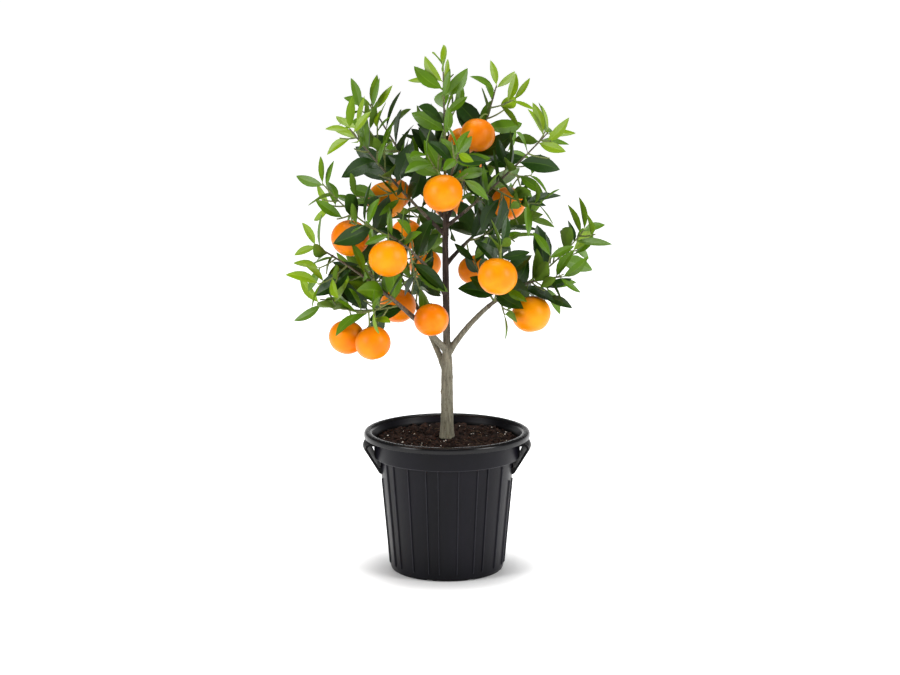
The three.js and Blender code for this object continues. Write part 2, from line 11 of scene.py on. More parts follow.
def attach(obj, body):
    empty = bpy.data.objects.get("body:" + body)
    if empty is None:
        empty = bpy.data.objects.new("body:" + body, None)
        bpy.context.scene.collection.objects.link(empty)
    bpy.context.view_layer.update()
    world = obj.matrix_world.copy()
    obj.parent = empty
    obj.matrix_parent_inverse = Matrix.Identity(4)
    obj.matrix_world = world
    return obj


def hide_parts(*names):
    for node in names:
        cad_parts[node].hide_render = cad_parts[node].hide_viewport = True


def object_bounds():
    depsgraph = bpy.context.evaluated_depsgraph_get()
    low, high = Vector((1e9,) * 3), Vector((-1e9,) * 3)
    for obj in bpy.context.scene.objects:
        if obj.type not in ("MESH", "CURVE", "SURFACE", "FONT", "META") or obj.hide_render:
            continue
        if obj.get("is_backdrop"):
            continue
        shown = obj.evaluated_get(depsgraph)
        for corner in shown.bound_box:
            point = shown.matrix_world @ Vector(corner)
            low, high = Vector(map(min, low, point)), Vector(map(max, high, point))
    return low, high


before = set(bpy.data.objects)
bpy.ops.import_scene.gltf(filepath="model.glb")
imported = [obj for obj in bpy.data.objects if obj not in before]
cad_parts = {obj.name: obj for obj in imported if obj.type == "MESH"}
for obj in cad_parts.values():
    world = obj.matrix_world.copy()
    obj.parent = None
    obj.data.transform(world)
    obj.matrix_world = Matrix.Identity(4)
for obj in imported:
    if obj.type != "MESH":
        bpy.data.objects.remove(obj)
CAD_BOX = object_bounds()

MM = 0.001
BODY = "root"
GOLDEN_ANGLE = 137.5  # turn from one leaf to the next round a twig

# ---- sizes of the pot, the soil and the grips ----------------------------------------------

POT_HEIGHT = 188
POT_WALL = 2
FOOT_RADIUS = 70.5
BODY_FOOT = (75.3, 6)  # radius and height
BODY_TOP = (88.8, 152.5)
COLLAR_FOOT = (96.4, 153.8)
COLLAR_TOP = (97, 176)
OPENING_RADIUS = 100
LIP_RADIUS = 110
LIP_DROP = 8
POT_SEGMENTS = 192
FIN_WIDTH = 1.4
FIN_PROUD = 1.8
FIN_SPACING = (17.5, 17, 10.5)
FIN_FIRST = -97.5
FIN_GROUPS = 8
FIN_FOOT = 9
NOTCH_COUNT = 8
NOTCH_FIRST = -109
NOTCH_RADIUS = 4.6
NOTCH_SUNK = 1.6
SOIL_TOP = 178
SOIL_EDGE = 176
SOIL_RADIUS = 94
SOIL_FLAT = 0.55  # of its radius: past this the potting mix falls off to its edge
SOIL_LUMPS = ((0.045, 0, 2.8), (0.12, 40, 3.6), (0.36, 80, 2.2), (0.9, 9, 0.7))  # fineness, layer, height
TRUNK_CLEAR = 14  # nothing loose lies this close to the trunk's middle
CRUMB_REACH = 0.97  # of the soil's radius
FIBRE_REACH = 0.9
GRIP_HALF_WIDTHS = (13, 30)  # at its foot, and from its waist up
GRIP_WAIST = 158
GRIP_PAD = (131, 141)  # foot and top of its pad on the pot
GRIP_FIN_TOP = 126
GRIP_CLEAR_ANGLE = 22
GRIP_STEPS = 28
GRIP_END = 0.93  # from this share of its half width on, a grip's end is rounded
GRIP_END_SHRINK = 0.35
GAP = 0.3  # clear space between a grip and the pot

# ---- sizes of the limbs, leaves and fruit ---------------------------------------------------

TRUNK_FOOT = Vector((0, 0, 178.3))
TRUNK_TIP = Vector((-2.4, -2, 560))
TRUNK_SWAY = 0.6
# radius at each height: the flare at the soil, and thinner past the forks of the stout boughs
TRUNK_RADII = ((178, 11), (185, 9.5), (200, 8.5), (280, 7.5), (305, 5), (450, 4), (475, 2.5), (560, 2))
# stubs of pruned twigs: height, heading, size
TRUNK_STUBS = ((200, 262, 2.1), (226, 300, 2.4), (228, 250, 1.9), (238, 205, 2.2), (250, 320, 2.6))
LIMB_STEPS = 12
TRACES = 16  # marks along a limb that show which space is its own
UPRIGHT = 0.05  # a limb this close to upright leans its first leaf to the front
COURSE_STEPS = 48
FORK_HEIGHTS = (290, 500)  # a bough from a higher fork is thinner and sooner in its foliage
FORK_RADIUS = (4.3, 2)
FORK_BARE = (90, 24)
SHOOT_SAG = 0.08  # of a shoot's length
SPRIG_SAG = 0.05
BOUGH_TAPER = 0.62
FORK_FLARE = 0.5
FLARE_REACH = 10
WIDEST_FORK = 0.84  # of the trunk's radius
TWIG_ROOT = 1.5
TWIG_TIP = 0.9

SPRIG_EVERY = 50
SPRIG_FIRST = 30
SPRIG_TIP_CLEAR = 18
SPRIG_LENGTH = (20, 34)
SPRIG_TILT = (42, 62)
MOST_SPRIGS = 16
FINE_EVERY = 25  # the finer twigs between the sprigs
FINE_LENGTH = (16, 30)
FINE_FIRST = 15
FINE_TIP_CLEAR = 10
FINE_SERIAL = 512  # a finer twig's number starts here
SPRIG_ROOT = 0.75  # of a shoot's girth

LEAF_EVERY = 18
SECOND_EVERY = 0.62  # the second pass of leaves stands closer, by this share,
SECOND_OFFSET = 8  # and starts this far from a limb's tip
LEAF_FIRST_ON_LIMB = 14
LEAF_FIRST_ON_SPRIG = 9
YOUNG_REACH = 60  # leaves this far from a tip are full grown
LEAF_LENGTH = (40, 57)  # youngest and full grown
LEAF_VARY = (0.85, 1.12)
LEAF_SLIM = (0.3, 0.43)  # width over length, youngest and full grown
LEAF_TILT = (42, 70)
LEAF_ROLL = (-34, 34)
LEAF_SIDEWAYS = 1.3  # how far a leaf's upper side turns out, against up
LEAF_FRONTWARD = 60  # leaves this far behind the trunk still turn to the front
LEAF_ARCH = (0.05, 0.2)
LEAF_SUNK = 0.8
LEAF_FOLD = (0.1, 0.34)  # how far the halves rise from the midrib
LEAF_SWEEP = (-0.1, 0.1)  # sideways bow
LEAF_WAVE = (0.2, 0.9)  # height of the waves along its edge
LEAF_WAVES = 11
LEAF_STALK_END = 0.04  # past this share of a leaf it keeps clear of the limbs
LEAF_TEST_ROWS = 6
YOUNG_AGE = 0.4
YOUNG_OUT = 1.02  # from this far out, of the crown's reach and with chance, a leaf is young
GREEN_OUT = 0.74  # or green
CROWN_MIDDLE = Vector((0, 20, 440))
CROWN_REACH = 220
ROOT_REACH = 6
TIP_CLUSTER = 2  # the last two leaves of a limb open as a V
TIP_EVERY = 3
TIP_TILT = (28, 50)
TIP_TURN = 180
TURN_VARY = 60
FRUIT_OBLATE = 0.94
FRUIT_SUNK = 0.93
FRUIT_DROP = -70
FRUIT_BELOW = 2  # a fruit hangs sooner from a limb above it than from one below
STALK_RISE = 0.12  # how far a stalk's middle stands up, of its length
RIPE_SIZE = 50  # the larger fruit are a lighter orange
STALK_DIMPLE = (0.055, 0.3)  # depth as a share of the fruit's radius, and its width round a pole
FOOT_DIMPLE = (0.02, 0.22)
PEEL_RIBS = (0.004, 0.5)
PEEL_UNEVEN = 0.012

# Seeds: how far apart those of the masses, the limbs and the passes of leaves are.
SPRIG_SEEDS = 4096
MASS_SEEDS = 256
LIMB_SEEDS = 64
FIRST_LEAF_SEED = 7
PASS_SEEDS = 8192


# ---- small tools ---------------------------------------------------------------------------

WORD = 0xFFFFFFFF  # keeps a number to 32 bits


def draws(seed):
    """A repeatable stream of numbers between 0 and 1."""
    state = seed & WORD
    while True:
        state = (state + 0x6D2B79F5) & WORD
        mixed = ((state ^ (state >> 15)) * (state | 1)) & WORD
        mixed ^= (mixed + (((mixed ^ (mixed >> 7)) * (mixed | 61)) & WORD)) & WORD
        yield (mixed ^ (mixed >> 14)) / 2**32


def blend(ends, share):
    return ends[0] + (ends[1] - ends[0]) * share


def bearing(heading, rise):
    heading = math.radians(heading)
    rise = math.radians(rise)
    level = math.cos(rise)
    return Vector((math.cos(heading) * level, math.sin(heading) * level, math.sin(rise)))


def around(angle, radius, z):
    """A point at an angle round the upright axis."""
    return Vector((math.cos(angle) * radius, math.sin(angle) * radius, z))


def band(low, high, count):
    """The faces from one closed ring of points to the next."""
    return [(low + here, high + here, high + (here + 1) % count, low + (here + 1) % count)
            for here in range(count)]


def across_from(direction, facing):
    """The upper side nearest to facing that stands square on a direction."""
    return (facing - direction * facing.dot(direction)).normalized()


class Line:
    """A smooth line through evenly spaced points."""

    def __init__(self, points):
        first = points[0] * 2 - points[1]
        last = points[-1] * 2 - points[-2]
        self.knots = [first, *points, last]
        self.spans = len(points) - 1
        self.reach = sum((b - a).length for a, b in zip(points, points[1:]))

    def _span(self, share):
        place = min(max(share, 0.0), 1.0) * self.spans
        row = min(int(place), self.spans - 1)
        return self.knots[row:row + 4], place - row

    def at(self, share):
        (a, b, c, d), t = self._span(share)
        curve = (a * -1 + b * 3 - c * 3 + d) * t + (a * 2 - b * 5 + c * 4 - d)
        return ((curve * t + (c - a)) * t + b * 2) * 0.5

    def along(self, share):
        (a, b, c, d), t = self._span(share)
        bend = (a * -1 + b * 3 - c * 3 + d) * (3 * t) + (a * 2 - b * 5 + c * 4 - d) * 2
        return (bend * t + (c - a)).normalized()


class Course(Line):
    """A limb's line from its root to its tip. The bow is how far its middle is off the straight."""

    def __init__(self, start, tip, bow):
        middle = start.lerp(tip, 0.5) + bow * 2
        shares = [step / COURSE_STEPS for step in range(COURSE_STEPS + 1)]
        fine = [start * (1 - share) ** 2 + middle * (2 * share * (1 - share)) + tip * share**2
                for share in shares]
        gone = list(itertools.accumulate(((b - a).length for a, b in zip(fine, fine[1:])), initial=0))
        points = []
        for step in range(LIMB_STEPS + 1):
            share = float(np.interp(gone[-1] * step / LIMB_STEPS, gone, shares))
            points.append(start * (1 - share) ** 2 + middle * (2 * share * (1 - share)) + tip * share**2)
        super().__init__(points)


def sagging(start, tip, share):
    return Course(start, tip, Vector((0, 0, -share * (tip - start).length)))


class Shape:
    """Points and faces gathered for one piece. Each face has the number of its finish."""

    def __init__(self):
        self.points = []
        self.faces = []
        self.finishes = []

    def add(self, points, faces, finishes=0):
        base = len(self.points)
        self.points.extend(points)
        self.faces.extend(tuple(base + corner for corner in face) for face in faces)
        several = isinstance(finishes, list)
        self.finishes.extend(finishes if several else [finishes] * len(faces))
        return self

    def mesh(self, name, crease=50):
        mesh = bpy.data.meshes.new(name)
        mesh.from_pydata([point * MM for point in self.points], [], self.faces)
        mesh.polygons.foreach_set("material_index", self.finishes)
        mesh.polygons.foreach_set("use_smooth", [True] * len(self.faces))
        mesh.set_sharp_from_angle(angle=math.radians(crease))
        return mesh


def finished_piece(name, mesh, finishes, replaces=()):
    """Put a mesh in the scene as a piece of the tree in its pot."""
    piece = bpy.data.objects.new(name, mesh)
    bpy.context.scene.collection.objects.link(piece)
    for finish in finishes:
        mesh.materials.append(finish)
    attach(piece, BODY)
    if replaces:
        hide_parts(*replaces)
    return piece


def tube(line, start, end, sides, steps, radius_at):
    """A round bar along part of a line, closed at both ends."""
    reference = Vector((0.36, 0.8, 0.48))
    points = []
    for step in range(steps + 1):
        share = step / steps
        place = start + (end - start) * share
        centre = line.at(place)
        along = line.along(place)
        side = along.cross(reference).normalized()
        other = side.cross(along)
        radius = radius_at(share)
        for corner in range(sides):
            angle = 2 * math.pi * corner / sides
            points.append(centre + side * (math.sin(angle) * radius) + other * (math.cos(angle) * radius))
    faces = []
    for step in range(steps):
        for corner in range(sides):
            after = (corner + 1) % sides
            low = step * sides
            high = low + sides
            faces.append((low + corner, low + after, high + after, high + corner))
    last = len(points)
    points.append(line.at(start) - line.along(start) * (radius_at(0) * 0.5))
    points.append(line.at(end) + line.along(end) * (radius_at(1) * 0.6))
    top = steps * sides
    for corner in range(sides):
        after = (corner + 1) % sides
        faces.append((last, after, corner))
        faces.append((last + 1, top + corner, top + after))
    return points, faces


def turned(profile, segments):
    """A profile of radius and height turned about the upright axis, closed on itself."""
    rows = len(profile)
    points = []
    faces = []
    for column in range(segments):
        angle = math.radians(360 * column / segments)
        points.extend(around(angle, radius, z) for radius, z in profile)
        faces.extend(band(column * rows, (column + 1) % segments * rows, rows))
    return points, faces


def rounded(corners, steps=5):
    """The corners of a profile, each (radius, height, fillet), with its fillets worked in."""
    profile = []
    for number, (x, z, fillet) in enumerate(corners):
        corner = Vector((x, z))
        if fillet == 0:
            profile.append(tuple(corner))
            continue
        before = Vector(corners[number - 1][:2])
        after = Vector(corners[(number + 1) % len(corners)][:2])
        into = corner + (before - corner).normalized() * min(fillet, (before - corner).length / 2)
        out = corner + (after - corner).normalized() * min(fillet, (after - corner).length / 2)
        for step in range(steps + 1):
            share = step / steps
            point = into * (1 - share)**2 + corner * (2 * share * (1 - share)) + out * share**2
            profile.append(tuple(point))
    return profile


# ---- what is already in place --------------------------------------------------------------

class Room:
    """What has grown so far, to keep new growth clear of it."""

    def __init__(self):
        self.boxes = np.empty((16384, 6))
        self.trees = []
        self.owners = []

    def settle(self, points, faces, owner):
        box = self._box(points)
        self.boxes[len(self.trees)] = box
        self.trees.append(BVHTree.FromPolygons(points, faces))
        self.owners.append(owner)

    def touches(self, points, faces, counts):
        low = self._box(points)[:3]
        high = self._box(points)[3:]
        boxes = self.boxes[:len(self.trees)]
        near = np.nonzero(np.all(boxes[:, :3] < high, axis=1) & np.all(boxes[:, 3:] > low, axis=1))[0]
        wanted = [number for number in near if counts(self.owners[number])]
        if not wanted:
            return False
        own = BVHTree.FromPolygons(points, faces)
        return any(own.overlap(self.trees[number]) for number in wanted)

    @staticmethod
    def _box(points):
        array = np.array(points)
        return np.concatenate((array.min(axis=0), array.max(axis=0)))


room = Room()

# ---- leaves and fruit ----------------------------------------------------------------------

LEAF_SHARES = (0, 0.04, 0.09, 0.2, 0.34, 0.5, 0.66, 0.8, 0.92)
LEAF_COLUMNS = (-1, -0.58, -0.045, 0.045, 0.58, 1)
STALK_SHARE = 0.07
STALK_RADIUS = 0.55
BLADE_THICKNESS = 0.45
BLADE_WIDEST = 0.93  # under 1, a blade is widest nearer its stalk
BLADE_FULL = 0.85  # under 1, a blade's ends are fuller
RIM_LIFT = 0.04
RIB_WIDTH = 0.1  # of a leaf's half width
RIB_SUNK = -0.25
RIB_KEEL = -0.35


class Leaf:
    def __init__(self, root, direction, facing, length, width, arch, tone, nature):
        self.root = root
        self.direction = direction
        self.upper = across_from(direction, facing)
        self.length = length
        self.width = width
        self.arch = arch
        self.tone = tone
        self.fold = blend(LEAF_FOLD, next(nature))
        self.sweep = blend(LEAF_SWEEP, next(nature))
        self.wave = blend(LEAF_WAVE, next(nature))
        self.phase = 6 * next(nature)

    def place(self, share, across, lift):
        side = self.direction.cross(self.upper)
        x = share * self.length
        bow = self.sweep * self.length * 4 * share * (1 - share)
        drop = -self.arch * self.length * share**2
        y = across + bow
        z = drop + lift + self.fold * abs(across)
        z += self.wave * (across / self.width) ** 2 * math.sin(share * LEAF_WAVES + self.phase)
        return self.root + self.direction * x + side * y + self.upper * z

    def half_width(self, share):
        if share < STALK_SHARE:
            return STALK_RADIUS
        run = (share - STALK_SHARE) / (1 - STALK_SHARE)
        blade = 0.5 * self.width * math.sin(math.pi * run**BLADE_WIDEST) ** BLADE_FULL
        return max(STALK_RADIUS * 0.6, blade)

    def body(self):
        """Points, faces and finishes: 0 the upper side, 1 the midrib and stalk, 2 the under side."""
        points = []
        for share in LEAF_SHARES:
            half = self.half_width(share)
            stalk = share < STALK_SHARE
            for column in LEAF_COLUMNS:
                rim = abs(column) == 1
                lift = RIM_LIFT if rim and not stalk else BLADE_THICKNESS / 2
                sunk = RIB_SUNK if abs(column) < RIB_WIDTH and not stalk else 0
                points.append(self.place(share, column * half, lift + sunk))
            for column in LEAF_COLUMNS[-2:0:-1]:
                keel = RIB_KEEL if abs(column) < RIB_WIDTH else 0
                points.append(self.place(share, column * half, keel - BLADE_THICKNESS / 2))
        ring = 2 * len(LEAF_COLUMNS) - 2
        top = len(LEAF_COLUMNS) - 1
        faces = [tuple(range(ring))]
        finishes = [1]
        for row in range(len(LEAF_SHARES) - 1):
            low = row * ring
            for column in range(ring):
                after = (column + 1) % ring
                faces.append((low + column, low + ring + column, low + ring + after, low + after))
                finishes.append(self._finish(row, column, top))
        tip = len(points)
        points.append(self.place(1, 0, 0))
        low = (len(LEAF_SHARES) - 1) * ring
        for column in range(ring):
            faces.append((low + column, tip, low + (column + 1) % ring))
            finishes.append(self._finish(len(LEAF_SHARES), column, top))
        return points, faces, finishes

    @staticmethod
    def _finish(row, column, top):
        if row < 2 or column == top // 2:
            return 1
        return 0 if column < top else 2

    def outline(self, start):
        """A plain sheet of the leaf past a share of its length, to test for touching."""
        points = []
        faces = []
        shares = [start + (1 - start) * row / LEAF_TEST_ROWS for row in range(LEAF_TEST_ROWS + 1)]
        for share in shares:
            half = self.half_width(share) if share < 1 else 0.1
            points.extend(self.place(share, column * half, 0) for column in (-1, 0, 1))
        for row in range(LEAF_TEST_ROWS):
            low = row * 3
            faces.append((low, low + 1, low + 4, low + 3))
            faces.append((low + 1, low + 2, low + 5, low + 4))
        return points, faces


def lit_side(root, direction, roll):
    """Where a leaf's upper side looks: up, and to that side which faces out of the crown."""
    facing = Vector((0, 0, 1)).cross(direction).normalized() * LEAF_SIDEWAYS
    if facing.x * root.x + facing.y * (root.y - LEAF_FRONTWARD) < 0:
        facing.negate()
    facing.z += 1
    return Matrix.Rotation(math.radians(roll), 3, direction) @ across_from(direction, facing)


def leaning(along, tilt, turn):
    """The direction that leans away from a limb by a tilt, at an angle round it."""
    away = Vector((0, 0, 1)) - along * along.z
    if away.length_squared < UPRIGHT:
        away = Vector((0, -1, 0)) + along * along.y
    away = Matrix.Rotation(math.radians(turn), 3, along) @ away.normalized()
    return along * math.cos(math.radians(tilt)) + away * math.sin(math.radians(tilt))


def swell(height, width, away):
    """How high a soft swelling or hollow is at an angle away from its middle."""
    return height * math.exp(-(away / width) ** 2)


def orange(size, columns, rows):
    """A calamondin at the origin: oblate, hanging from +Z, with a dimple round its stalk."""
    points = []
    for row in range(1, rows):
        lat = math.pi * row / rows
        dimple = swell(*STALK_DIMPLE, lat) + swell(*FOOT_DIMPLE, math.pi - lat)
        for column in range(columns):
            lon = 2 * math.pi * column / columns
            level = math.sin(lat)
            unit = Vector((level * math.cos(lon), level * math.sin(lon), math.cos(lat)))
            ribs = swell(PEEL_RIBS[0] * math.cos(9 * lon), PEEL_RIBS[1], lat)
            uneven = PEEL_UNEVEN * noise.noise(unit * 1.7 + Vector((size, 0, 0)))
            radius = size / 2 * (1 - dimple + ribs + uneven)
            points.append(Vector((unit.x, unit.y, unit.z * FRUIT_OBLATE)) * radius)
    faces = []
    for row in range(rows - 2):
        faces.extend(band(row * columns, (row + 1) * columns, columns))
    top = len(points)
    points.append(Vector((0, 0, size / 2 * FRUIT_OBLATE * 0.94)))
    points.append(Vector((0, 0, -size / 2 * FRUIT_OBLATE * 0.98)))
    low = (rows - 2) * columns
    for column in range(columns):
        after = (column + 1) % columns
        faces.append((top, column, after))
        faces.append((top + 1, low + after, low + column))
    return points, faces


def calyx(size):
    """The five-lobed green star where the stalk meets the fruit."""
    spokes = 20
    base = size / 2 * FRUIT_OBLATE
    points = [Vector((0, 0, base * 0.95 + 1.3)), Vector((0, 0, base * 0.95 - 0.8))]
    faces = []
    for spoke in range(spokes):
        angle = 2 * math.pi * spoke / spokes
        lobe = 3.3 + 1.3 * math.cos(5 * angle)
        points.append(around(angle, lobe, base * 0.955 + 0.9))
        points.append(around(angle, lobe, base * 0.955 + 0.2))
    for spoke in range(spokes):
        here = 2 + 2 * spoke
        there = 2 + 2 * ((spoke + 1) % spokes)
        faces.append((0, here, there))
        faces.append((here, here + 1, there + 1, there))
        faces.append((1, there + 1, here + 1))
    return points, faces


def hung(points, centre, hang):
    """Points of a fruit turned so that +Z is its stalk, and moved to its place."""
    turn = Vector((0, 0, 1)).rotation_difference(-hang)
    return [turn @ point + centre for point in points]


# ---- growing the tree ----------------------------------------------------------------------

def trunk_course():
    points = []
    for step in range(LIMB_STEPS + 1):
        share = step / LIMB_STEPS
        point = TRUNK_FOOT.lerp(TRUNK_TIP, share)
        point.x += TRUNK_SWAY * math.sin(share * math.pi * 2)
        point.y -= TRUNK_SWAY * math.sin(share * math.pi)
        points.append(point)
    return Line(points)


def trunk_radius(height):
    heights, radii = zip(*TRUNK_RADII)
    return float(np.interp(height, heights, radii))


TRUNK_LINE = trunk_course()


def trunk_girth(share):
    return trunk_radius(TRUNK_LINE.at(share).z)


def point_on_trunk(height):
    return TRUNK_LINE.at((height - TRUNK_FOOT.z) / (TRUNK_TIP.z - TRUNK_FOOT.z))


def by_fork(fork, ends):
    return float(np.interp(fork, FORK_HEIGHTS, ends))


class Bough:
    """The plan of one bough.

    fork is its height on the trunk, tip the place where it ends, and bow how far its middle stands
    off the straight line. shoots: the share of the bough where each leaves it, and its tip.
    fruit: the centre and size of each.
    """

    def __init__(self, name, tip, bow=(0, 0, 0), fork=None, shoots=(), fruit=()):
        self.name = name
        self.fork = fork
        self.shoots = shoots
        self.fruit = fruit
        root = TRUNK_TIP if fork is None else point_on_trunk(fork)
        self.line = Course(root, Vector(tip), Vector(bow))
        self.radius = TRUNK_RADII[-1][1] if fork is None else by_fork(fork, FORK_RADIUS)
        self.bare = 0 if fork is None else by_fork(fork, FORK_BARE) / self.line.reach

    def bare_girth(self, share):
        """The radius along the bare part: it flares at the fork and tapers to the foliage."""
        run = share * self.bare * self.line.reach
        flare = FORK_FLARE * math.exp(-run / FLARE_REACH)
        return self.radius * (1 + flare - BOUGH_TAPER * run / self.line.reach)


BOUGHS = [
    Bough("left_back", fork=265, tip=(-90, 120, 415), bow=(0, -10, 15),
          shoots=[(0.7, (-125, 125, 375)), (0.6, (-40, 150, 425))],
          fruit=[((-65, 30, 350), 48), ((-30, 155, 385), 44)]),
    Bough("left", fork=295, tip=(-170, -60, 445), bow=(5, -40, 15),
          shoots=[(0.45, (-165, -60, 370)), (0.55, (-105, -25, 420)), (0.8, (-165, -90, 400)),
                  (0.5, (-115, -105, 365))],
          fruit=[((-130, -60, 325), 47), ((-95, -100, 325), 46)]),
    Bough("right", fork=290, tip=(150, -35, 400), bow=(-5, 0, 25),
          shoots=[(0.5, (70, -85, 450)), (0.65, (180, 10, 455)), (0.5, (35, -15, 420)),
                  (0.55, (75, -35, 350))],
          fruit=[((65, -90, 410), 51), ((110, -30, 350), 51)]),
    Bough("mid_left", fork=370, tip=(-75, -90, 465), bow=(5, 0, 5),
          shoots=[(0.9, (-160, -55, 525)), (0.7, (-35, -45, 385))],
          fruit=[((-125, -60, 455), 49), ((-75, -100, 435), 50), ((-20, -70, 350), 45)]),
    Bough("mid_right", fork=410, tip=(85, 125, 470), bow=(-5, 0, 0),
          shoots=[(0.55, (110, 115, 455)), (0.8, (50, 125, 495)), (0.4, (60, 20, 455))],
          fruit=[((35, 50, 395), 41)]),
    Bough("upper_left", fork=450, tip=(-125, -45, 595), bow=(0, 0, -5),
          shoots=[(0.45, (-125, -55, 510)), (0.7, (-90, -15, 595))],
          fruit=[((-80, 5, 495), 50)]),
    Bough("upper_left_back", fork=470, tip=(-100, 60, 615), bow=(0, 5, -5),
          shoots=[(0.45, (-80, 90, 530))],
          fruit=[((-70, 95, 490), 44)]),
    Bough("upper_right", fork=460, tip=(130, -45, 590), bow=(0, 0, -5),
          shoots=[(0.45, (120, -60, 500)), (0.6, (110, -10, 530))],
          fruit=[((80, 10, 490), 45)]),
    Bough("upper_right_back", fork=465, tip=(65, 50, 640), bow=(5, 5, 0),
          shoots=[(0.4, (80, 70, 550))],
          fruit=[((40, 10, 580), 46), ((20, 60, 565), 38)]),
    Bough("back", fork=420, tip=(5, 150, 510),
          shoots=[(0.35, (-50, 120, 465)), (0.65, (55, 150, 500))],
          fruit=[((-55, 130, 430), 43), ((0, 160, 470), 44)]),
    Bough("back_top", fork=510, tip=(-30, 100, 570),
          shoots=[(0.6, (20, 105, 560))],
          fruit=[((25, 110, 525), 43)]),
    Bough("front", fork=495, tip=(15, -95, 570), bow=(0, 0, 5),
          shoots=[(0.35, (-25, -70, 565))],
          fruit=[((-5, -70, 515), 51)]),
    Bough("leader", tip=(-5, -5, 672)),
]


class Limb:
    """A stem, a shoot or a sprig. It begins at a share of its line, and the radius is its root's."""

    def __init__(self, line, start, name, serial, radius):
        self.line = line
        self.start = start
        self.name = name
        self.serial = serial
        self.radius = radius
        self.marks = [line.at(blend((start, 1), step / TRACES)) for step in range(TRACES + 1)]

    def girth(self, share):
        return blend((self.radius, TWIG_TIP), share**0.7)


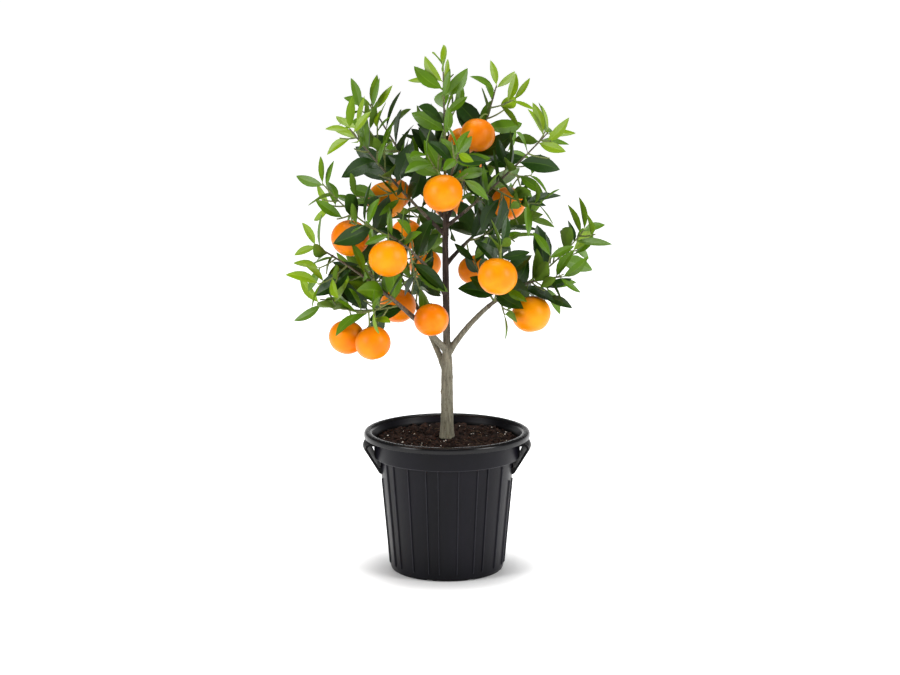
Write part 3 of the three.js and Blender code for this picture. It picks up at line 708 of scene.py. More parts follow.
class Mass:
    """One mass of foliage: a stem and all that grows from it."""

    def __init__(self, plan, number):
        radius = plan.radius * (1 - BOUGH_TAPER * plan.bare)
        self.plan = plan
        self.number = number
        self.limbs = [Limb(plan.line, plan.bare, f"{plan.name}.stem", 0, radius)]
        self.leaves = []
        self.fruit = []

    def add_bare_bough(self):
        if self.plan.fork is not None:
            points, faces = tube(self.plan.line, 0, self.plan.bare, 6, 8, self.plan.bare_girth)
            room.settle(points, faces, "bough")

    def add_shoots(self):
        for index, (at, tip) in enumerate(self.plan.shoots):
            line = sagging(self.plan.line.at(at), Vector(tip), SHOOT_SAG)
            self.limbs.append(Limb(line, 0, f"{self.plan.name}.shoot{index}", index + 1, TWIG_ROOT))
        for limb in self.limbs:
            points, faces = tube(limb.line, limb.start, 1, 6, 6, limb.girth)
            room.settle(points, faces, limb.name)
        self.traces = np.array([mark for limb in self.limbs for mark in limb.marks])

    def hanging_place(self, centre, size):
        """The limb and the place on it that a fruit hangs from: near, and sooner above than below."""
        crest = centre + Vector((0, 0, size / 2))
        places = [(limb, root) for limb in self.limbs for root in limb.marks]
        return min(places, key=lambda place: (place[1] - crest).length
                   + FRUIT_BELOW * max(0, crest.z - place[1].z))

    def add_fruit(self):
        for place, size in self.plan.fruit:
            centre = Vector(place)
            limb, root = self.hanging_place(centre, size)
            heading = math.degrees(math.atan2(centre.y - root.y, centre.x - root.x))
            hang = bearing(heading, FRUIT_DROP)
            stalk = sagging(root, centre - hang * (size / 2 * FRUIT_SUNK), -STALK_RISE)
            points, faces = orange(size, 16, 10)
            points = hung(points, centre, hang)
            if not room.touches(points, faces, lambda owner: owner != limb.name):
                room.settle(points, faces, f"{limb.name}.fruit")
                self.fruit.append((stalk, centre, hang, size))

    def nearness(self, point):
        return np.linalg.norm(self.traces - np.array(point), axis=1).min()

    def owns(self, point):
        """Whether a point is nearer to this mass's limbs than to any other mass's."""
        own = self.nearness(point)
        return all(other is self or other.nearness(point) > own for other in masses)

    def add_sprig(self, parent, run, rank, serial, length):
        line = parent.line
        nature = draws(self.number * SPRIG_SEEDS + serial)
        turn = rank * GOLDEN_ANGLE + 360 * next(nature)
        lean = leaning(line.along(run / line.reach), blend(SPRIG_TILT, next(nature)), turn)
        root = line.at(run / line.reach)
        course = sagging(root, root + lean * blend(length, next(nature)), SPRIG_SAG)
        limb = Limb(course, 0, f"{self.plan.name}.sprig{serial}", serial, TWIG_ROOT * SPRIG_ROOT)
        if not self.owns(course.at(1)):
            return
        points, faces = tube(course, 0, 1, 4, 2, limb.girth)
        if not room.touches(points, faces, lambda owner: owner != parent.name):
            room.settle(points, faces, limb.name)
            self.limbs.append(limb)

    def add_sprigs(self, every, first, tip_clear, length, first_serial):
        """Short seeded twigs along each limb there is so far."""
        for number, parent in enumerate(list(self.limbs)):
            run = parent.start * parent.line.reach + first
            rank = 0
            while run < parent.line.reach - tip_clear:
                rank += 1
                serial = first_serial + (number + 1) * MOST_SPRIGS + rank
                self.add_sprig(parent, run, rank, serial, length)
                run += every

    def add_leaf(self, limb, leaf):
        kin = f"{limb.name}.leaf"
        points, faces = leaf.outline(LEAF_STALK_END)
        if room.touches(points, faces, lambda owner: owner not in (limb.name, kin)):
            return
        blade, blade_faces = leaf.outline(ROOT_REACH / leaf.length)
        if room.touches(blade, blade_faces, lambda owner: owner == kin):
            return
        room.settle(points, faces, kin)
        self.leaves.append(leaf)

    def add_leaves(self, every, cluster, offset):
        """Seeded leaves from each limb's tip down to its root."""
        for limb in self.limbs:
            first = LEAF_FIRST_ON_LIMB if limb.serial < MOST_SPRIGS else LEAF_FIRST_ON_SPRIG
            begin = limb.start * limb.line.reach + first
            run = limb.line.reach - offset
            rank = 0
            while run > begin:
                self.add_seeded_leaf(limb, run, rank, cluster, offset)
                rank += 1
                run -= TIP_EVERY if rank < cluster else every

    def add_seeded_leaf(self, limb, run, rank, cluster, offset):
        line = limb.line
        seed = (self.number * MASS_SEEDS + limb.serial) * LIMB_SEEDS + rank + FIRST_LEAF_SEED
        nature = draws(seed + offset * PASS_SEEDS)
        age = min(max((line.reach - run) / YOUNG_REACH, 0), 1)
        at_tip = rank < cluster
        tilt = blend(TIP_TILT if at_tip else LEAF_TILT, next(nature))
        turn = rank * (TIP_TURN if at_tip else GOLDEN_ANGLE) + TURN_VARY * (next(nature) - 0.5)
        direction = leaning(line.along(run / line.reach), tilt, turn)
        root = line.at(run / line.reach) - direction * LEAF_SUNK
        length = blend(LEAF_LENGTH, age) * blend(LEAF_VARY, next(nature))
        width = length * blend(LEAF_SLIM, age)
        facing = lit_side(root, direction, blend(LEAF_ROLL, next(nature)))
        arch = blend(LEAF_ARCH, next(nature))
        middle = root + direction * (length / 2)
        if not self.owns(middle):
            return
        tone = tone_and_painted_shade_of(root, age, next(nature))
        self.add_leaf(limb, Leaf(root, direction, facing, length, width, arch, tone, nature))


def tone_and_painted_shade_of(root, age, chance):
    """Young leaves are at the tips on the outside of the crown, the darkest ones deep within: that dark
    tone is partly the older leaves' own deeper green and partly painted shade of the crown's inside.
    """
    out = (root - CROWN_MIDDLE).length / CROWN_REACH
    if age < YOUNG_AGE and out + 0.3 * chance > YOUNG_OUT:
        return "young"
    if out + 0.6 * chance - 0.25 * age > GREEN_OUT:
        return "green"
    return "dark"


masses = [Mass(plan, number) for number, plan in enumerate(BOUGHS)]
room.settle(*tube(TRUNK_LINE, 0, 1, 10, 40, trunk_girth), "trunk")
for mass in masses:
    mass.add_bare_bough()
for mass in masses:
    mass.add_shoots()
for mass in masses:
    mass.add_fruit()
for mass in masses:
    mass.add_sprigs(SPRIG_EVERY, SPRIG_FIRST, SPRIG_TIP_CLEAR, SPRIG_LENGTH, 0)
for mass in masses:
    mass.add_leaves(LEAF_EVERY, TIP_CLUSTER, 0)
for mass in masses:
    mass.add_sprigs(FINE_EVERY, FINE_FIRST, FINE_TIP_CLEAR, FINE_LENGTH, FINE_SERIAL)
for mass in masses:
    mass.add_leaves(LEAF_EVERY * SECOND_EVERY, 0, SECOND_OFFSET)

# ---- finishes ------------------------------------------------------------------------------

class Reading:
    """A value that changes over a surface, to be written in sums."""

    def __init__(self, finish, socket):
        self.finish = finish
        self.socket = socket

    def _sum(self, operation, first, second):
        return self.finish.node("ShaderNodeMath", {"operation": operation}, {0: first, 1: second})

    def __add__(self, other):
        return self._sum("ADD", self, other)

    def __mul__(self, other):
        return self._sum("MULTIPLY", self, other)

    def __sub__(self, other):
        return self._sum("SUBTRACT", self, other)

    def __rsub__(self, other):
        return self._sum("SUBTRACT", other, self)

    __radd__ = __add__
    __rmul__ = __mul__

    def between(self, low, high):
        """0 below low, 1 above high, and a smooth step from one to the other."""
        settings = {"interpolation_type": "SMOOTHSTEP"}
        return self.finish.node("ShaderNodeMapRange", settings, {0: self, 1: low, 2: high})


class Finish:
    """A material worked out by nodes round one shader."""

    def __init__(self, name, **settings):
        self.material = bpy.data.materials.new(name)
        self.material.use_nodes = True
        self.tree = self.material.node_tree
        self.shader = self.tree.nodes["Principled BSDF"]
        for socket, value in settings.items():
            self.shader.inputs[socket.replace("_", " ")].default_value = value
        place = self.tree.nodes.new("ShaderNodeTexCoord")
        self.place = Reading(self, place.outputs["Object"])

    def node(self, kind, settings=None, values=None, output=0):
        node = self.tree.nodes.new(kind)
        for setting, value in (settings or {}).items():
            setattr(node, setting, value)
        for socket, value in (values or {}).items():
            self.feed(node.inputs[socket], value)
        return Reading(self, node.outputs[output])

    def feed(self, socket, value):
        if isinstance(value, Reading):
            self.tree.links.new(value.socket, socket)
        else:
            socket.default_value = value

    def grain(self, scale, detail=3, rough=0.55, stretch=(1, 1, 1)):
        """Soft noise between 0 and 1, scale in grains to the metre."""
        place = self.node("ShaderNodeVectorMath", {"operation": "MULTIPLY"}, {0: self.place, 1: stretch})
        values = {"Vector": place, "Scale": scale, "Detail": detail, "Roughness": rough}
        return self.node("ShaderNodeTexNoise", None, values)

    def cells(self, scale, stretch=(1, 1, 1)):
        place = self.node("ShaderNodeVectorMath", {"operation": "MULTIPLY"}, {0: self.place, 1: stretch})
        return self.node("ShaderNodeTexVoronoi", None, {"Vector": place, "Scale": scale})

    def mix(self, share, first, second):
        """From the first colour to the second by a share."""
        settings = {"data_type": "RGBA"}
        return self.node("ShaderNodeMix", settings, {0: share, 6: first, 7: second}, output=2)

    def part(self, axis):
        """How far a point lies along one axis, in metres."""
        return self.node("ShaderNodeSeparateXYZ", None, {0: self.place}, output=axis)

    def colour(self, value):
        self.feed(self.shader.inputs["Base Color"], value)

    def roughness(self, value):
        self.feed(self.shader.inputs["Roughness"], value)

    def glow(self, value):
        self.feed(self.shader.inputs["Emission Color"], value)

    def relief(self, height, strength, distance):
        values = {"Height": height, "Strength": strength, "Distance": distance}
        bump = self.node("ShaderNodeBump", None, values)
        self.feed(self.shader.inputs["Normal"], bump)


def tint(red, green, blue):
    """A colour given as it looks, from 0 to 255, turned into light."""
    def light(value):
        value /= 255
        return value / 12.92 if value <= 0.04045 else ((value + 0.055) / 1.055) ** 2.4
    return (light(red), light(green), light(blue), 1.0)


def moulded_plastic(name, dark, pale, gloss, shine):
    finish = Finish(name, Specular_IOR_Level=shine)
    blotches = finish.grain(18, detail=4, stretch=(1, 1, 0.35)).between(0.3, 0.75)
    finish.colour(finish.mix(blotches, dark, pale))
    streaks = finish.grain(260, detail=2, stretch=(1, 1, 0.06))
    finish.roughness(gloss + 0.1 * blotches + 0.05 * streaks)
    finish.relief(finish.grain(2400, detail=2) + 0.5 * streaks, 0.12, 0.0002)
    return finish.material


def potting_mix():
    finish = Finish("potting_mix", Specular_IOR_Level=0.25)
    clumps = finish.grain(140, detail=6, rough=0.65)
    crumbs = finish.cells(620)
    brown = finish.mix(clumps.between(0.3, 0.7), tint(11, 6, 4), tint(44, 26, 18))
    finish.colour(finish.mix(crumbs.between(0.1, 0.7) * 0.5, brown, tint(20, 13, 10)))
    finish.roughness(0.86 + 0.1 * clumps)
    finish.relief(clumps + 0.6 * crumbs, 0.9, 0.002)
    return finish.material


def bark_chip():
    finish = Finish("bark_chip", Specular_IOR_Level=0.3)
    grain = finish.grain(900, detail=4, stretch=(1, 0.3, 1))
    finish.colour(finish.mix(grain.between(0.35, 0.7), tint(16, 9, 6), tint(62, 38, 26)))
    finish.roughness(0.8 + 0.12 * grain)
    finish.relief(grain, 0.6, 0.0006)
    return finish.material


def perlite_grain():
    finish = Finish("perlite", Specular_IOR_Level=0.3)
    pores = finish.grain(1800, detail=3)
    finish.colour(finish.mix(pores.between(0.3, 0.6), tint(176, 160, 140), tint(246, 242, 232)))
    finish.roughness(0.8 + 0.1 * pores)
    finish.relief(pores, 0.5, 0.0003)
    return finish.material


def straw():
    finish = Finish("coir", Specular_IOR_Level=0.3)
    grain = finish.grain(700, detail=3)
    finish.colour(finish.mix(grain.between(0.3, 0.7), tint(84, 60, 42), tint(176, 150, 116)))
    finish.roughness(0.75 + 0.1 * grain)
    finish.relief(grain, 0.3, 0.0002)
    return finish.material


def citrus_bark():
    """Grey and olive at the foot, purple-brown where it is young, with corky flecks."""
    finish = Finish("citrus_bark", Specular_IOR_Level=0.3)
    streaks = finish.grain(330, detail=6, rough=0.62, stretch=(1, 1, 0.16))
    patches = finish.grain(55, detail=4, stretch=(1, 1, 0.5))
    flecks = finish.cells(420, stretch=(1, 1, 0.7)).between(0.16, 0.34)
    grey = finish.mix(streaks.between(0.3, 0.72), tint(98, 94, 80), tint(140, 136, 118))
    grey = finish.mix(patches.between(0.42, 0.72) * 0.5, grey, tint(104, 102, 82))
    brown = finish.mix(streaks.between(0.3, 0.72), tint(40, 32, 29), tint(84, 70, 62))
    aside = finish.node("ShaderNodeMath", {"operation": "ABSOLUTE"}, {0: finish.part("X")})
    young = (finish.part("Z") + 0.05 * patches - 1.6 * aside).between(0.3, 0.38)
    bark = finish.mix(young, grey, brown)
    finish.colour(finish.mix(0.45 * (1 - flecks), bark, tint(50, 42, 36)))
    finish.roughness(0.72 + 0.2 * streaks)
    finish.relief(streaks - 0.35 * (1 - flecks), 0.8, 0.0011)
    return finish.material


def twig_bark(name, dark, pale):
    finish = Finish(name, Specular_IOR_Level=0.35)
    streaks = finish.grain(700, detail=4, stretch=(1, 1, 0.4))
    finish.colour(finish.mix(streaks.between(0.3, 0.7), dark, pale))
    finish.roughness(0.5 + 0.2 * streaks)
    finish.relief(streaks, 0.4, 0.0003)
    return finish.material


def leaf_side(name, colour, roughness, gloss):
    """One side of the leaves of one tone, waxy above and dull below, with faint puckers."""
    finish = Finish(name, Base_Color=colour, Specular_IOR_Level=gloss)
    puckers = finish.grain(420, detail=3)
    finish.roughness(roughness + 0.12 * puckers)
    finish.relief(puckers, 0.35, 0.0009)
    return finish.material


def orange_peel(name, shade, glow):
    finish = Finish(name, Specular_IOR_Level=0.17)
    warm = finish.grain(38, detail=3)
    pores = finish.cells(900)
    peel = finish.mix(warm.between(0.3, 0.7), shade, glow)
    finish.colour(finish.mix(0.25 * (1 - pores.between(0.08, 0.4)), peel, tint(214, 84, 0)))
    finish.roughness(0.3 + 0.08 * warm)
    finish.relief(pores.between(0.0, 0.5), 0.22, 0.0004)
    return finish.material


# ---- the pot, its grips and the soil -------------------------------------------------------

def body_radius(z):
    return float(np.interp(z, (BODY_FOOT[1], BODY_TOP[1]), (BODY_FOOT[0], BODY_TOP[0])))


def pot_profile():
    skirt = POT_HEIGHT - LIP_DROP
    under_lip = POT_HEIGHT - 2.4
    return [(0.5, 0), (FOOT_RADIUS - 4, 0)] + rounded([
        (FOOT_RADIUS, 0, 0.8),
        (FOOT_RADIUS + 3.3, 1.8, 1.4),
        (*BODY_FOOT, 1),
        (*BODY_TOP, 0.2),
        (*COLLAR_FOOT, 1),
        (*COLLAR_TOP, 1.5),
        (OPENING_RADIUS - 0.5, POT_HEIGHT - 4.5, 1),
        (OPENING_RADIUS + 1.8, under_lip, 0.6),
        (LIP_RADIUS - POT_WALL, under_lip, 0.5),
        (LIP_RADIUS - POT_WALL, skirt, 0.4),
        (LIP_RADIUS, skirt, 0.6),
        (LIP_RADIUS, POT_HEIGHT, 4.6),
        (OPENING_RADIUS, POT_HEIGHT, 3.4),
        (94.6, COLLAR_TOP[1] + 1, 2),
        (94.3, 156, 0.4),
        (87, 154.6, 0.4),
        (BODY_FOOT[0] - POT_WALL, BODY_FOOT[1], 1),
        (FOOT_RADIUS + 1, 2.4, 1),
    ]) + [(0.5, 2.4)]


def pot_finish(low, high):
    """Which of the pot's finishes a face has: body, the paler edges of the fins and of the collar's foot
    that are a painted highlight, lip, or the darker inside that is painted shade.
    """
    radius = (math.hypot(low.x, low.y) + math.hypot(high.x, high.y)) / 2
    height = (low.z + high.z) / 2
    outside = body_radius(height) if height < BODY_TOP[1] else COLLAR_FOOT[0]
    if height > POT_HEIGHT - LIP_DROP + 0.2 and radius > OPENING_RADIUS - 1.5:
        return 2
    # painted shade: the pot's inside takes a darker, duller copy of the plastic
    if height > 1 and radius < outside - POT_WALL / 2:
        return 3
    # painted highlight: the collar's lower edge takes the paler plastic, for the line of light it catches
    if radius > outside - 1 and abs(height - COLLAR_FOOT[1]) < 1.2:
        return 1
    return 0


def notched(point):
    """Lift the edge of the foot over its small drainage notches."""
    radius = math.hypot(point.x, point.y)
    if point.z > 2.2 or radius < FOOT_RADIUS - 3:
        return point
    azimuth = math.degrees(math.atan2(point.y, point.x))
    pitch = 360 / NOTCH_COUNT
    away = (azimuth - NOTCH_FIRST + pitch / 2) % pitch - pitch / 2
    across = math.radians(away) * radius
    rise = NOTCH_RADIUS**2 - across**2
    if rise > NOTCH_SUNK**2:
        point.z = max(point.z, math.sqrt(rise) - NOTCH_SUNK)
    return point


def fin(azimuth, top):
    """A thin upright fin with a rounded edge, its foot and its back sunk in the pot's wall."""
    rows = ((FIN_FOOT, -0.6), (FIN_FOOT + 1, 0.8), (FIN_FOOT + 3, FIN_PROUD), (top, FIN_PROUD))
    corners = 6
    points = []
    half = FIN_WIDTH / 2
    for z, proud in rows:
        base = body_radius(z)
        for out, across in ((-1, half), (proud - 0.5, half), (proud, half * 0.45),
                            (proud, -half * 0.45), (proud - 0.5, -half), (-1, -half)):
            points.append(Vector((base + out, across, z)))
    last = (len(rows) - 1) * corners
    faces = [tuple(reversed(range(corners))), tuple(range(last, last + corners))]
    for low in range(0, last, corners):
        high = low + corners
        for corner in range(corners):
            after = (corner + 1) % corners
            faces.append((low + corner, low + after, high + after, high + corner))
    turn = Matrix.Rotation(math.radians(azimuth), 3, "Z")
    return [turn @ point for point in points], faces


def pot_shape():
    shape = Shape()
    points, faces = turned(pot_profile(), POT_SEGMENTS)
    finishes = [pot_finish(points[face[0]], points[face[-1]]) for face in faces]
    shape.add([notched(point) for point in points], faces, finishes)
    for group in range(FIN_GROUPS):
        azimuth = FIN_FIRST + group * 360 / FIN_GROUPS
        for step in FIN_SPACING:
            beside = abs(math.cos(math.radians(azimuth))) > math.cos(math.radians(GRIP_CLEAR_ANGLE))
            # painted highlight: the fins take the paler plastic, for the light along their edges
            shape.add(*fin(azimuth, GRIP_FIN_TOP if beside else BODY_TOP[1] + 0.3), 1)
            azimuth += step
    return shape


def grip_shape(side):
    """A finger grip: a strap that curves with the pot, out from under the lip and back to it."""
    inner = COLLAR_TOP[0] + GAP
    section = rounded([
        (inner, 175.6, 0.3),
        (inner, 172.8, 0.3),
        (107.4, 172.8, 1.2),
        (109.6, 169.2, 1.2),
        (93.2, GRIP_PAD[1] + 0.6, 1.2),
        (body_radius(GRIP_PAD[1]) + GAP, GRIP_PAD[1], 0.3),
        (body_radius(GRIP_PAD[0]) + GAP, GRIP_PAD[0], 0.3),
        (90.2, GRIP_PAD[0] + 1.6, 1),
        (110.9, 165.6, 2),
        (111.9, 168.8, 1.5),
        (110.6, 172.8, 1.5),
        (106.5, 175.6, 1.5),
    ], steps=4)
    points = []
    for step in range(GRIP_STEPS + 1):
        run = 2 * step / GRIP_STEPS - 1
        shrink = GRIP_END_SHRINK * max(0, (abs(run) - GRIP_END) / (1 - GRIP_END))
        for number, (radius, z) in enumerate(section):
            x0, z0 = section[number - 1]
            x1, z1 = section[(number + 1) % len(section)]
            normal = Vector((z1 - z0, x0 - x1)).normalized()
            radius += normal.x * shrink
            z += normal.y * shrink
            half_width = float(np.interp(z, (GRIP_PAD[0], GRIP_WAIST), GRIP_HALF_WIDTHS))
            angle = math.asin(run * half_width / radius)
            points.append(Vector((side * math.cos(angle) * radius, math.sin(angle) * radius, z)))
    rows = len(section)
    faces = [tuple(range(rows)), tuple(reversed(range(GRIP_STEPS * rows, (GRIP_STEPS + 1) * rows)))]
    for step in range(GRIP_STEPS):
        faces.extend(band(step * rows, (step + 1) * rows, rows))
    return Shape().add(points, faces)


def soil_height(x, y):
    """The lie of the potting mix: a low mound round the trunk, with lumps and hollows."""
    run = math.hypot(x, y) / SOIL_RADIUS
    fall = min(1, max(0, (run - SOIL_FLAT) / (1 - SOIL_FLAT)))
    mound = blend((SOIL_TOP, SOIL_EDGE), fall)
    lumps = sum(noise.noise(Vector((x, y, layer)) * fine) * high for fine, layer, high in SOIL_LUMPS)
    edge = min(1, (1 - run) * 8 + 0.3)
    return mound + lumps * edge - 0.6


def on_soil(angle, radius):
    x = math.cos(angle) * radius
    y = math.sin(angle) * radius
    return Vector((x, y, soil_height(x, y)))


def soil_shape():
    columns = 220
    rings = 72
    points = [Vector((0, 0, soil_height(0, 0)))]
    for ring in range(1, rings + 1):
        radius = SOIL_RADIUS * ring / rings
        for column in range(columns):
            points.append(on_soil(2 * math.pi * (column + 0.5 * (ring % 2)) / columns, radius))
    faces = [(0, 1 + column, 1 + (column + 1) % columns) for column in range(columns)]
    for ring in range(1, rings):
        faces.extend(band(1 + (ring - 1) * columns, 1 + ring * columns, columns))
    rim = 1 + (rings - 1) * columns
    base = len(points)
    for point in points[rim:base]:
        points.append(Vector((point.x * 0.985, point.y * 0.985, SOIL_EDGE - 8)))
    faces.extend(band(rim, base, columns))
    faces.append(tuple(base + column for column in reversed(range(columns))))
    return Shape().add(points, faces)


def scattered(count, seed, reach):
    """Places on the soil, even over its area and clear of the trunk."""
    nature = draws(seed)
    clear = (TRUNK_CLEAR / SOIL_RADIUS) ** 2
    for _ in range(count):
        radius = SOIL_RADIUS * reach * math.sqrt(blend((clear, 1), next(nature)))
        yield on_soil(2 * math.pi * next(nature), radius), nature


def rough_ball():
    ball = bmesh.new()
    bmesh.ops.create_icosphere(ball, subdivisions=2, radius=1)
    points = [corner.co.copy() for corner in ball.verts]
    faces = [tuple(corner.index for corner in face.verts) for face in ball.faces]
    ball.free()
    return points, faces


BALL = rough_ball()


def crumb(centre, size, flat, nature):
    """A broken closed lump: a ball pushed in and out unevenly, and pressed flat or long."""
    points, faces = BALL
    shift = Vector((next(nature), next(nature), next(nature))) * 50
    turn = Matrix.Rotation(6.28 * next(nature), 3, "Z") @ Matrix.Rotation(0.9 * next(nature), 3, "X")
    long = blend((1, 1.7), next(nature))
    moved = []
    for point in points:
        push = 1 + 0.55 * noise.noise(point * 1.3 + shift)
        lump = Vector((point.x * push * long, point.y * push, point.z * push * flat))
        moved.append(turn @ lump * size + centre)
    return moved, faces


def crumbs(count, seed, sizes, flat, lift):
    shape = Shape()
    for centre, nature in scattered(count, seed, CRUMB_REACH):
        size = blend(sizes, next(nature) ** 2)
        shape.add(*crumb(centre + Vector((0, 0, size * lift)), size, flat, nature))
    return shape


def fibres(count, seed):
    shape = Shape()
    for centre, nature in scattered(count, seed, FIBRE_REACH):
        heading = 360 * next(nature)
        length = blend((5, 15), next(nature))
        start = centre + Vector((0, 0, 0.2))
        aside = bearing(heading + 90, 0) * (length * blend((-0.25, 0.25), next(nature)))
        arch = Vector((0, 0, length * 0.12))
        line = Course(start, start + bearing(heading, 0) * length, aside + arch)
        radius = blend((0.12, 0.24), next(nature))
        shape.add(*tube(line, 0, 1, 5, 9, lambda share: radius * (1 - 0.5 * share)))
    return shape


# ---- trunk and boughs, twigs, leaves and fruit ---------------------------------------------

WOOD_VOXEL = 0.85
WOOD_SMOOTHING = 5


def wood_shape():
    """The trunk with its flare and stubs, and the bare part of each bough, as one grown form."""
    shape = Shape()
    shape.add(*tube(TRUNK_LINE, 0, 1, 16, 130, trunk_girth))
    for height, heading, size in TRUNK_STUBS:
        centre = point_on_trunk(height) + bearing(heading, 20) * (trunk_radius(height) - 0.6)
        ball = [Vector((p.x, p.y, p.z * 1.5)) * size + centre for p in BALL[0]]
        shape.add(ball, BALL[1])
    for plan in BOUGHS:
        if plan.fork is None:
            continue
        widest = WIDEST_FORK * trunk_radius(plan.fork)
        steps = int(plan.bare * plan.line.reach / 2)
        shape.add(*tube(plan.line, 0, plan.bare, 12, steps,
                        lambda share: min(plan.bare_girth(share), widest)))
    return shape


def bark_relief(place):
    """How far bark stands out: ridges along the wood, warts and knots, fainter where it is thin."""
    ridges = noise.noise(Vector((place.x * 0.55, place.y * 0.55, place.z * 0.09)))
    warts = noise.noise(place * 0.32) * 0.8
    knots = max(0, noise.noise(place * 0.11 + Vector((7, 3, 1))) - 0.28) * 2.2
    thick = min(1, max(0.25, (420 - place.z) / 200))
    return (0.3 * ridges + 0.22 * warts + knots) * thick


def grown_wood():
    """Fuse the limbs into one skin, round off their forks and work in the bark's relief."""
    rough = bpy.data.objects.new("wood_rough", wood_shape().mesh("wood_rough"))
    bpy.context.scene.collection.objects.link(rough)
    fuse = rough.modifiers.new("fuse", "REMESH")
    fuse.mode = "VOXEL"
    fuse.voxel_size = WOOD_VOXEL * MM
    smooth = rough.modifiers.new("smooth", "SMOOTH")
    smooth.factor = 0.5
    smooth.iterations = WOOD_SMOOTHING
    graph = bpy.context.evaluated_depsgraph_get()
    mesh = bpy.data.meshes.new_from_object(rough.evaluated_get(graph))
    bpy.data.objects.remove(rough)
    moved = []
    for corner in mesh.vertices:
        moved.extend(corner.co + corner.normal * (bark_relief(corner.co / MM) * MM))
    mesh.vertices.foreach_set("co", moved)
    mesh.name = "trunk_and_boughs"
    mesh.materials.clear()
    mesh.polygons.foreach_set("material_index", [0] * len(mesh.polygons))
    mesh.polygons.foreach_set("use_smooth", [True] * len(mesh.polygons))
    mesh.update()
    return mesh


def twig_shapes():
    """Woody stems, and the green shoots and sprigs, each with swellings at its leaf bases."""
    stems = Shape()
    shoots = Shape()
    for mass in masses:
        for limb in mass.limbs:
            woody = limb.serial == 0
            steps = max(4, int(limb.line.reach * (1 - limb.start) / 4))
            start = limb.start - (3 / limb.line.reach if woody and mass.plan.fork else 0)
            nodes = limb.line.reach / LEAF_EVERY * 2

            def girth(share):
                swelling = 1 + 0.14 * math.cos(2 * math.pi * nodes * share) ** 8
                return limb.girth(share) * swelling

            target = stems if woody else shoots
            target.add(*tube(limb.line, start, 1, 8 if woody else 6, steps, girth))
    return stems, shoots


def leaf_shapes():
    shapes = {"young": Shape(), "green": Shape(), "dark": Shape()}
    for mass in masses:
        for leaf in mass.leaves:
            shapes[leaf.tone].add(*leaf.body())
    return shapes


def fruit_shapes():
    peel = Shape()
    stalks = Shape()
    for mass in masses:
        for line, centre, hang, size in mass.fruit:
            points, faces = orange(size, 56, 36)
            ripe = 0 if size >= RIPE_SIZE else 1
            peel.add(hung(points, centre, hang), faces, ripe)
            points, faces = calyx(size)
            stalks.add(hung(points, centre, hang), faces)
            stalks.add(*tube(line, 0, 1, 6, 8, lambda share: 1.0 + 0.5 * share**3))
    return peel, stalks


# ---- the pieces ----------------------------------------------------------------------------

plastic = moulded_plastic("pot_plastic", tint(9, 9, 13), tint(17, 16, 23), 0.28, 0.12)
# painted highlight: a paler, shinier copy of the plastic for the fins and the collar's lower edge
edge_plastic = moulded_plastic("edge_plastic", tint(22, 22, 28), tint(32, 32, 39), 0.34, 0.22)
lip_plastic = moulded_plastic("lip_plastic", tint(9, 9, 11), tint(15, 15, 17), 0.16, 0.26)
# painted shade: a darker copy of the pot plastic with little shine, for the inside of the pot
inner_plastic = moulded_plastic("inner_plastic", tint(8, 8, 9), tint(14, 14, 15), 0.3, 0.06)
# painted shade: the grips take a darker copy of the pot plastic with little shine
grip_plastic = moulded_plastic("grip_plastic", tint(6, 6, 7), tint(12, 12, 14), 0.34, 0.08)
pot_finishes = [plastic, edge_plastic, lip_plastic, inner_plastic]
finished_piece("pot_shell", pot_shape().mesh("pot_shell", 40), pot_finishes, ["pot"])
finished_piece("grip_left", grip_shape(-1).mesh("grip_left"), [grip_plastic], ["handle_left"])
finished_piece("grip_right", grip_shape(1).mesh("grip_right"), [grip_plastic], ["handle_right"])
finished_piece("potting_mix", soil_shape().mesh("potting_mix", 180), [potting_mix()], ["soil"])
chips = crumbs(count=1500, seed=11, sizes=(0.6, 3.2), flat=0.6, lift=0.25)
finished_piece("bark_chips", chips.mesh("bark_chips"), [bark_chip()])
perlite = crumbs(count=150, seed=12, sizes=(0.3, 0.9), flat=0.9, lift=0.8)
finished_piece("perlite", perlite.mesh("perlite"), [perlite_grain()])
coir = fibres(count=70, seed=13)
finished_piece("coir_fibres", coir.mesh("coir_fibres"), [straw()])

bough_nodes = [f"bough_{plan.name}" for plan in BOUGHS if plan.fork is not None]
finished_piece("trunk_and_boughs", grown_wood(), [citrus_bark()], ["trunk", *bough_nodes])

foliage_nodes = [f"foliage_{plan.name}" for plan in BOUGHS]
stems, shoots = twig_shapes()
young_bark = twig_bark("young_bark", tint(62, 52, 44), tint(112, 104, 84))
green_bark = twig_bark("green_bark", tint(78, 88, 48), tint(128, 138, 78))
finished_piece("stems", stems.mesh("stems"), [young_bark])
finished_piece("shoots", shoots.mesh("shoots"), [green_bark])

TONES = {
    "young": (tint(118, 148, 4), tint(140, 168, 34), tint(98, 130, 22)),
    "green": (tint(80, 116, 4), tint(102, 136, 34), tint(82, 110, 30)),
    # partly painted shade: the dark tone, set on leaves deep in the crown, stands partly for their own
    # deeper green and partly for the shade within
    "dark": (tint(27, 57, 0), tint(54, 84, 16), tint(40, 66, 12)),
}
for tone, shape in leaf_shapes().items():
    upper, rib, under = TONES[tone]
    sides = [
        leaf_side(f"leaf_{tone}", upper, 0.3, 0.34),
        leaf_side(f"leaf_{tone}_rib", rib, 0.42, 0.3),
        leaf_side(f"leaf_{tone}_under", under, 0.55, 0.12),
    ]
    replaced = foliage_nodes if tone == "dark" else ()
    finished_piece(f"leaves_{tone}", shape.mesh(f"leaves_{tone}", 60), sides, replaced)

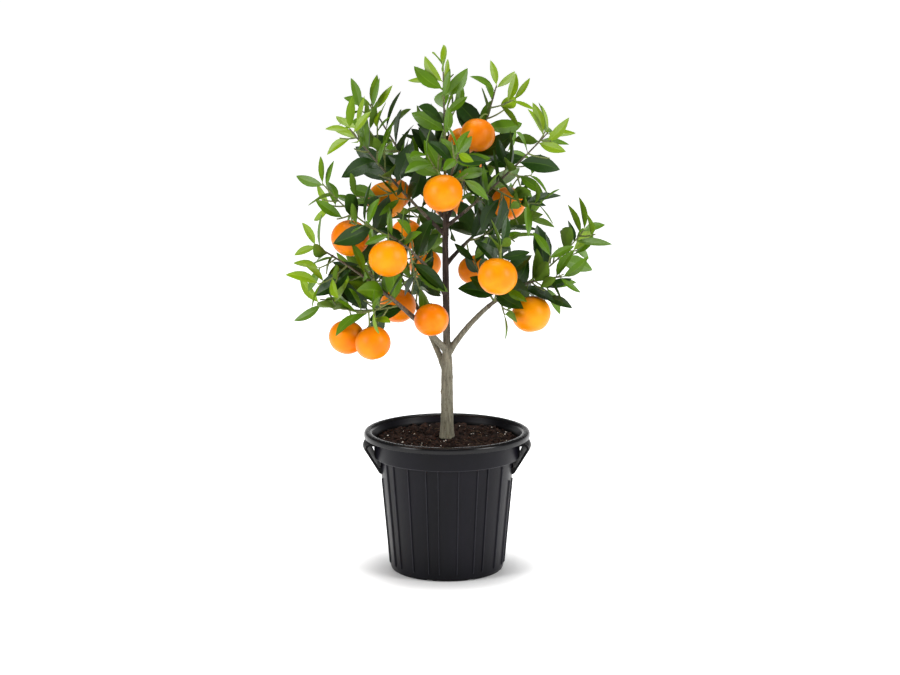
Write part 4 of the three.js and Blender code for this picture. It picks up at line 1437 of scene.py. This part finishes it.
peel, stalks = fruit_shapes()
peels = [
    orange_peel("orange_peel", tint(232, 128, 0), tint(240, 148, 0)),
    orange_peel("deep_orange_peel", tint(227, 115, 0), tint(236, 135, 0)),
]
finished_piece("oranges", peel.mesh("oranges", 180), peels)
stalk_mesh = stalks.mesh("fruit_stalks")
calyx_green = twig_bark("calyx_green", tint(84, 104, 44), tint(132, 146, 70))
finished_piece("fruit_stalks", stalk_mesh, [calyx_green])

# ---- floor, light and camera ---------------------------------------------------------------

def floor_with_painted_shadow():
    """A wide pale floor that rises far off all round, and glows more away from the pot's foot: its dim
    glow close round the foot is a painted contact shadow.
    """
    columns = 96
    rings = ((1000, 0), (5000, 0), (14000, 0), (15500, 300), (16500, 1200), (17000, 3500))
    turns = [2 * math.pi * column / columns for column in range(columns)]
    points = [around(turn, radius, z) for radius, z in rings for turn in turns]
    faces = [tuple(range(columns))]
    for low in range(0, columns * (len(rings) - 1), columns):
        faces.extend(band(low, low + columns, columns))
    shape = Shape().add(points, faces)
    finish = Finish("floor", Base_Color=(0.9, 0.9, 0.9, 1), Roughness=0.9, Specular_IOR_Level=0.1,
                    Emission_Strength=0.86)
    reach = finish.node("ShaderNodeVectorMath", {"operation": "LENGTH"}, {0: finish.place}, output=1)
    # painted contact shadow: the floor's glow falls to near black close round the pot's foot
    finish.glow(finish.mix(reach.between(0.07, 0.17), (0.05, 0.05, 0.05, 1), (1, 1, 1, 1)))
    sheet = bpy.data.objects.new("floor", shape.mesh("floor", 180))
    sheet.data.materials.append(finish.material)
    bpy.context.scene.collection.objects.link(sheet)
    sheet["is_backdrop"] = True


def soft_box(name, place, aim, size, power):
    light = bpy.data.lights.new(name, "AREA")
    light.shape = "RECTANGLE"
    light.size, light.size_y = size
    light.energy = power
    lamp = bpy.data.objects.new(name, light)
    bpy.context.scene.collection.objects.link(lamp)
    lamp.location = place
    lamp.rotation_euler = (Vector(aim) - Vector(place)).to_track_quat("-Z", "Y").to_euler()


def studio():
    world = bpy.data.worlds.new("studio")
    bpy.context.scene.world = world
    world.use_nodes = True
    sky = world.node_tree.nodes["Background"]
    sky.inputs["Color"].default_value = (1, 1, 1, 1)
    sky.inputs["Strength"].default_value = 0.1
    soft_box("box_left", place=(-1.8, -1.2, 1.3), aim=(0, 0, 0.4), size=(0.9, 1.2), power=32)
    soft_box("box_right", place=(1.8, -1.1, 1.3), aim=(0, 0, 0.4), size=(0.9, 1.2), power=34)
    soft_box("box_top", place=(0, 0.5, 2.6), aim=(0, 0, 0.3), size=(1.6, 1.6), power=40)


EYE = Vector((4, -3881, 1060.3))  # where the camera stands
EYE_DOWN = 10.9  # degrees below level
LENS = 120
FILM = 36
FARTHEST = 60  # metres


def front_camera():
    camera = bpy.data.cameras.new("camera")
    camera.sensor_width = FILM
    camera.lens = LENS
    camera.clip_end = FARTHEST
    eye = bpy.data.objects.new("camera", camera)
    bpy.context.scene.collection.objects.link(eye)
    eye.location = EYE * MM
    eye.rotation_euler = (math.radians(90 - EYE_DOWN), 0, 0)
    bpy.context.scene.camera = eye
    bpy.context.scene.view_settings.view_transform = "Standard"


floor_with_painted_shadow()
studio()
front_camera()

sizes = {"cad": CAD_BOX, "visual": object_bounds()}
{name: [[float(v) for v in corner] for corner in box] for name, box in sizes.items()}
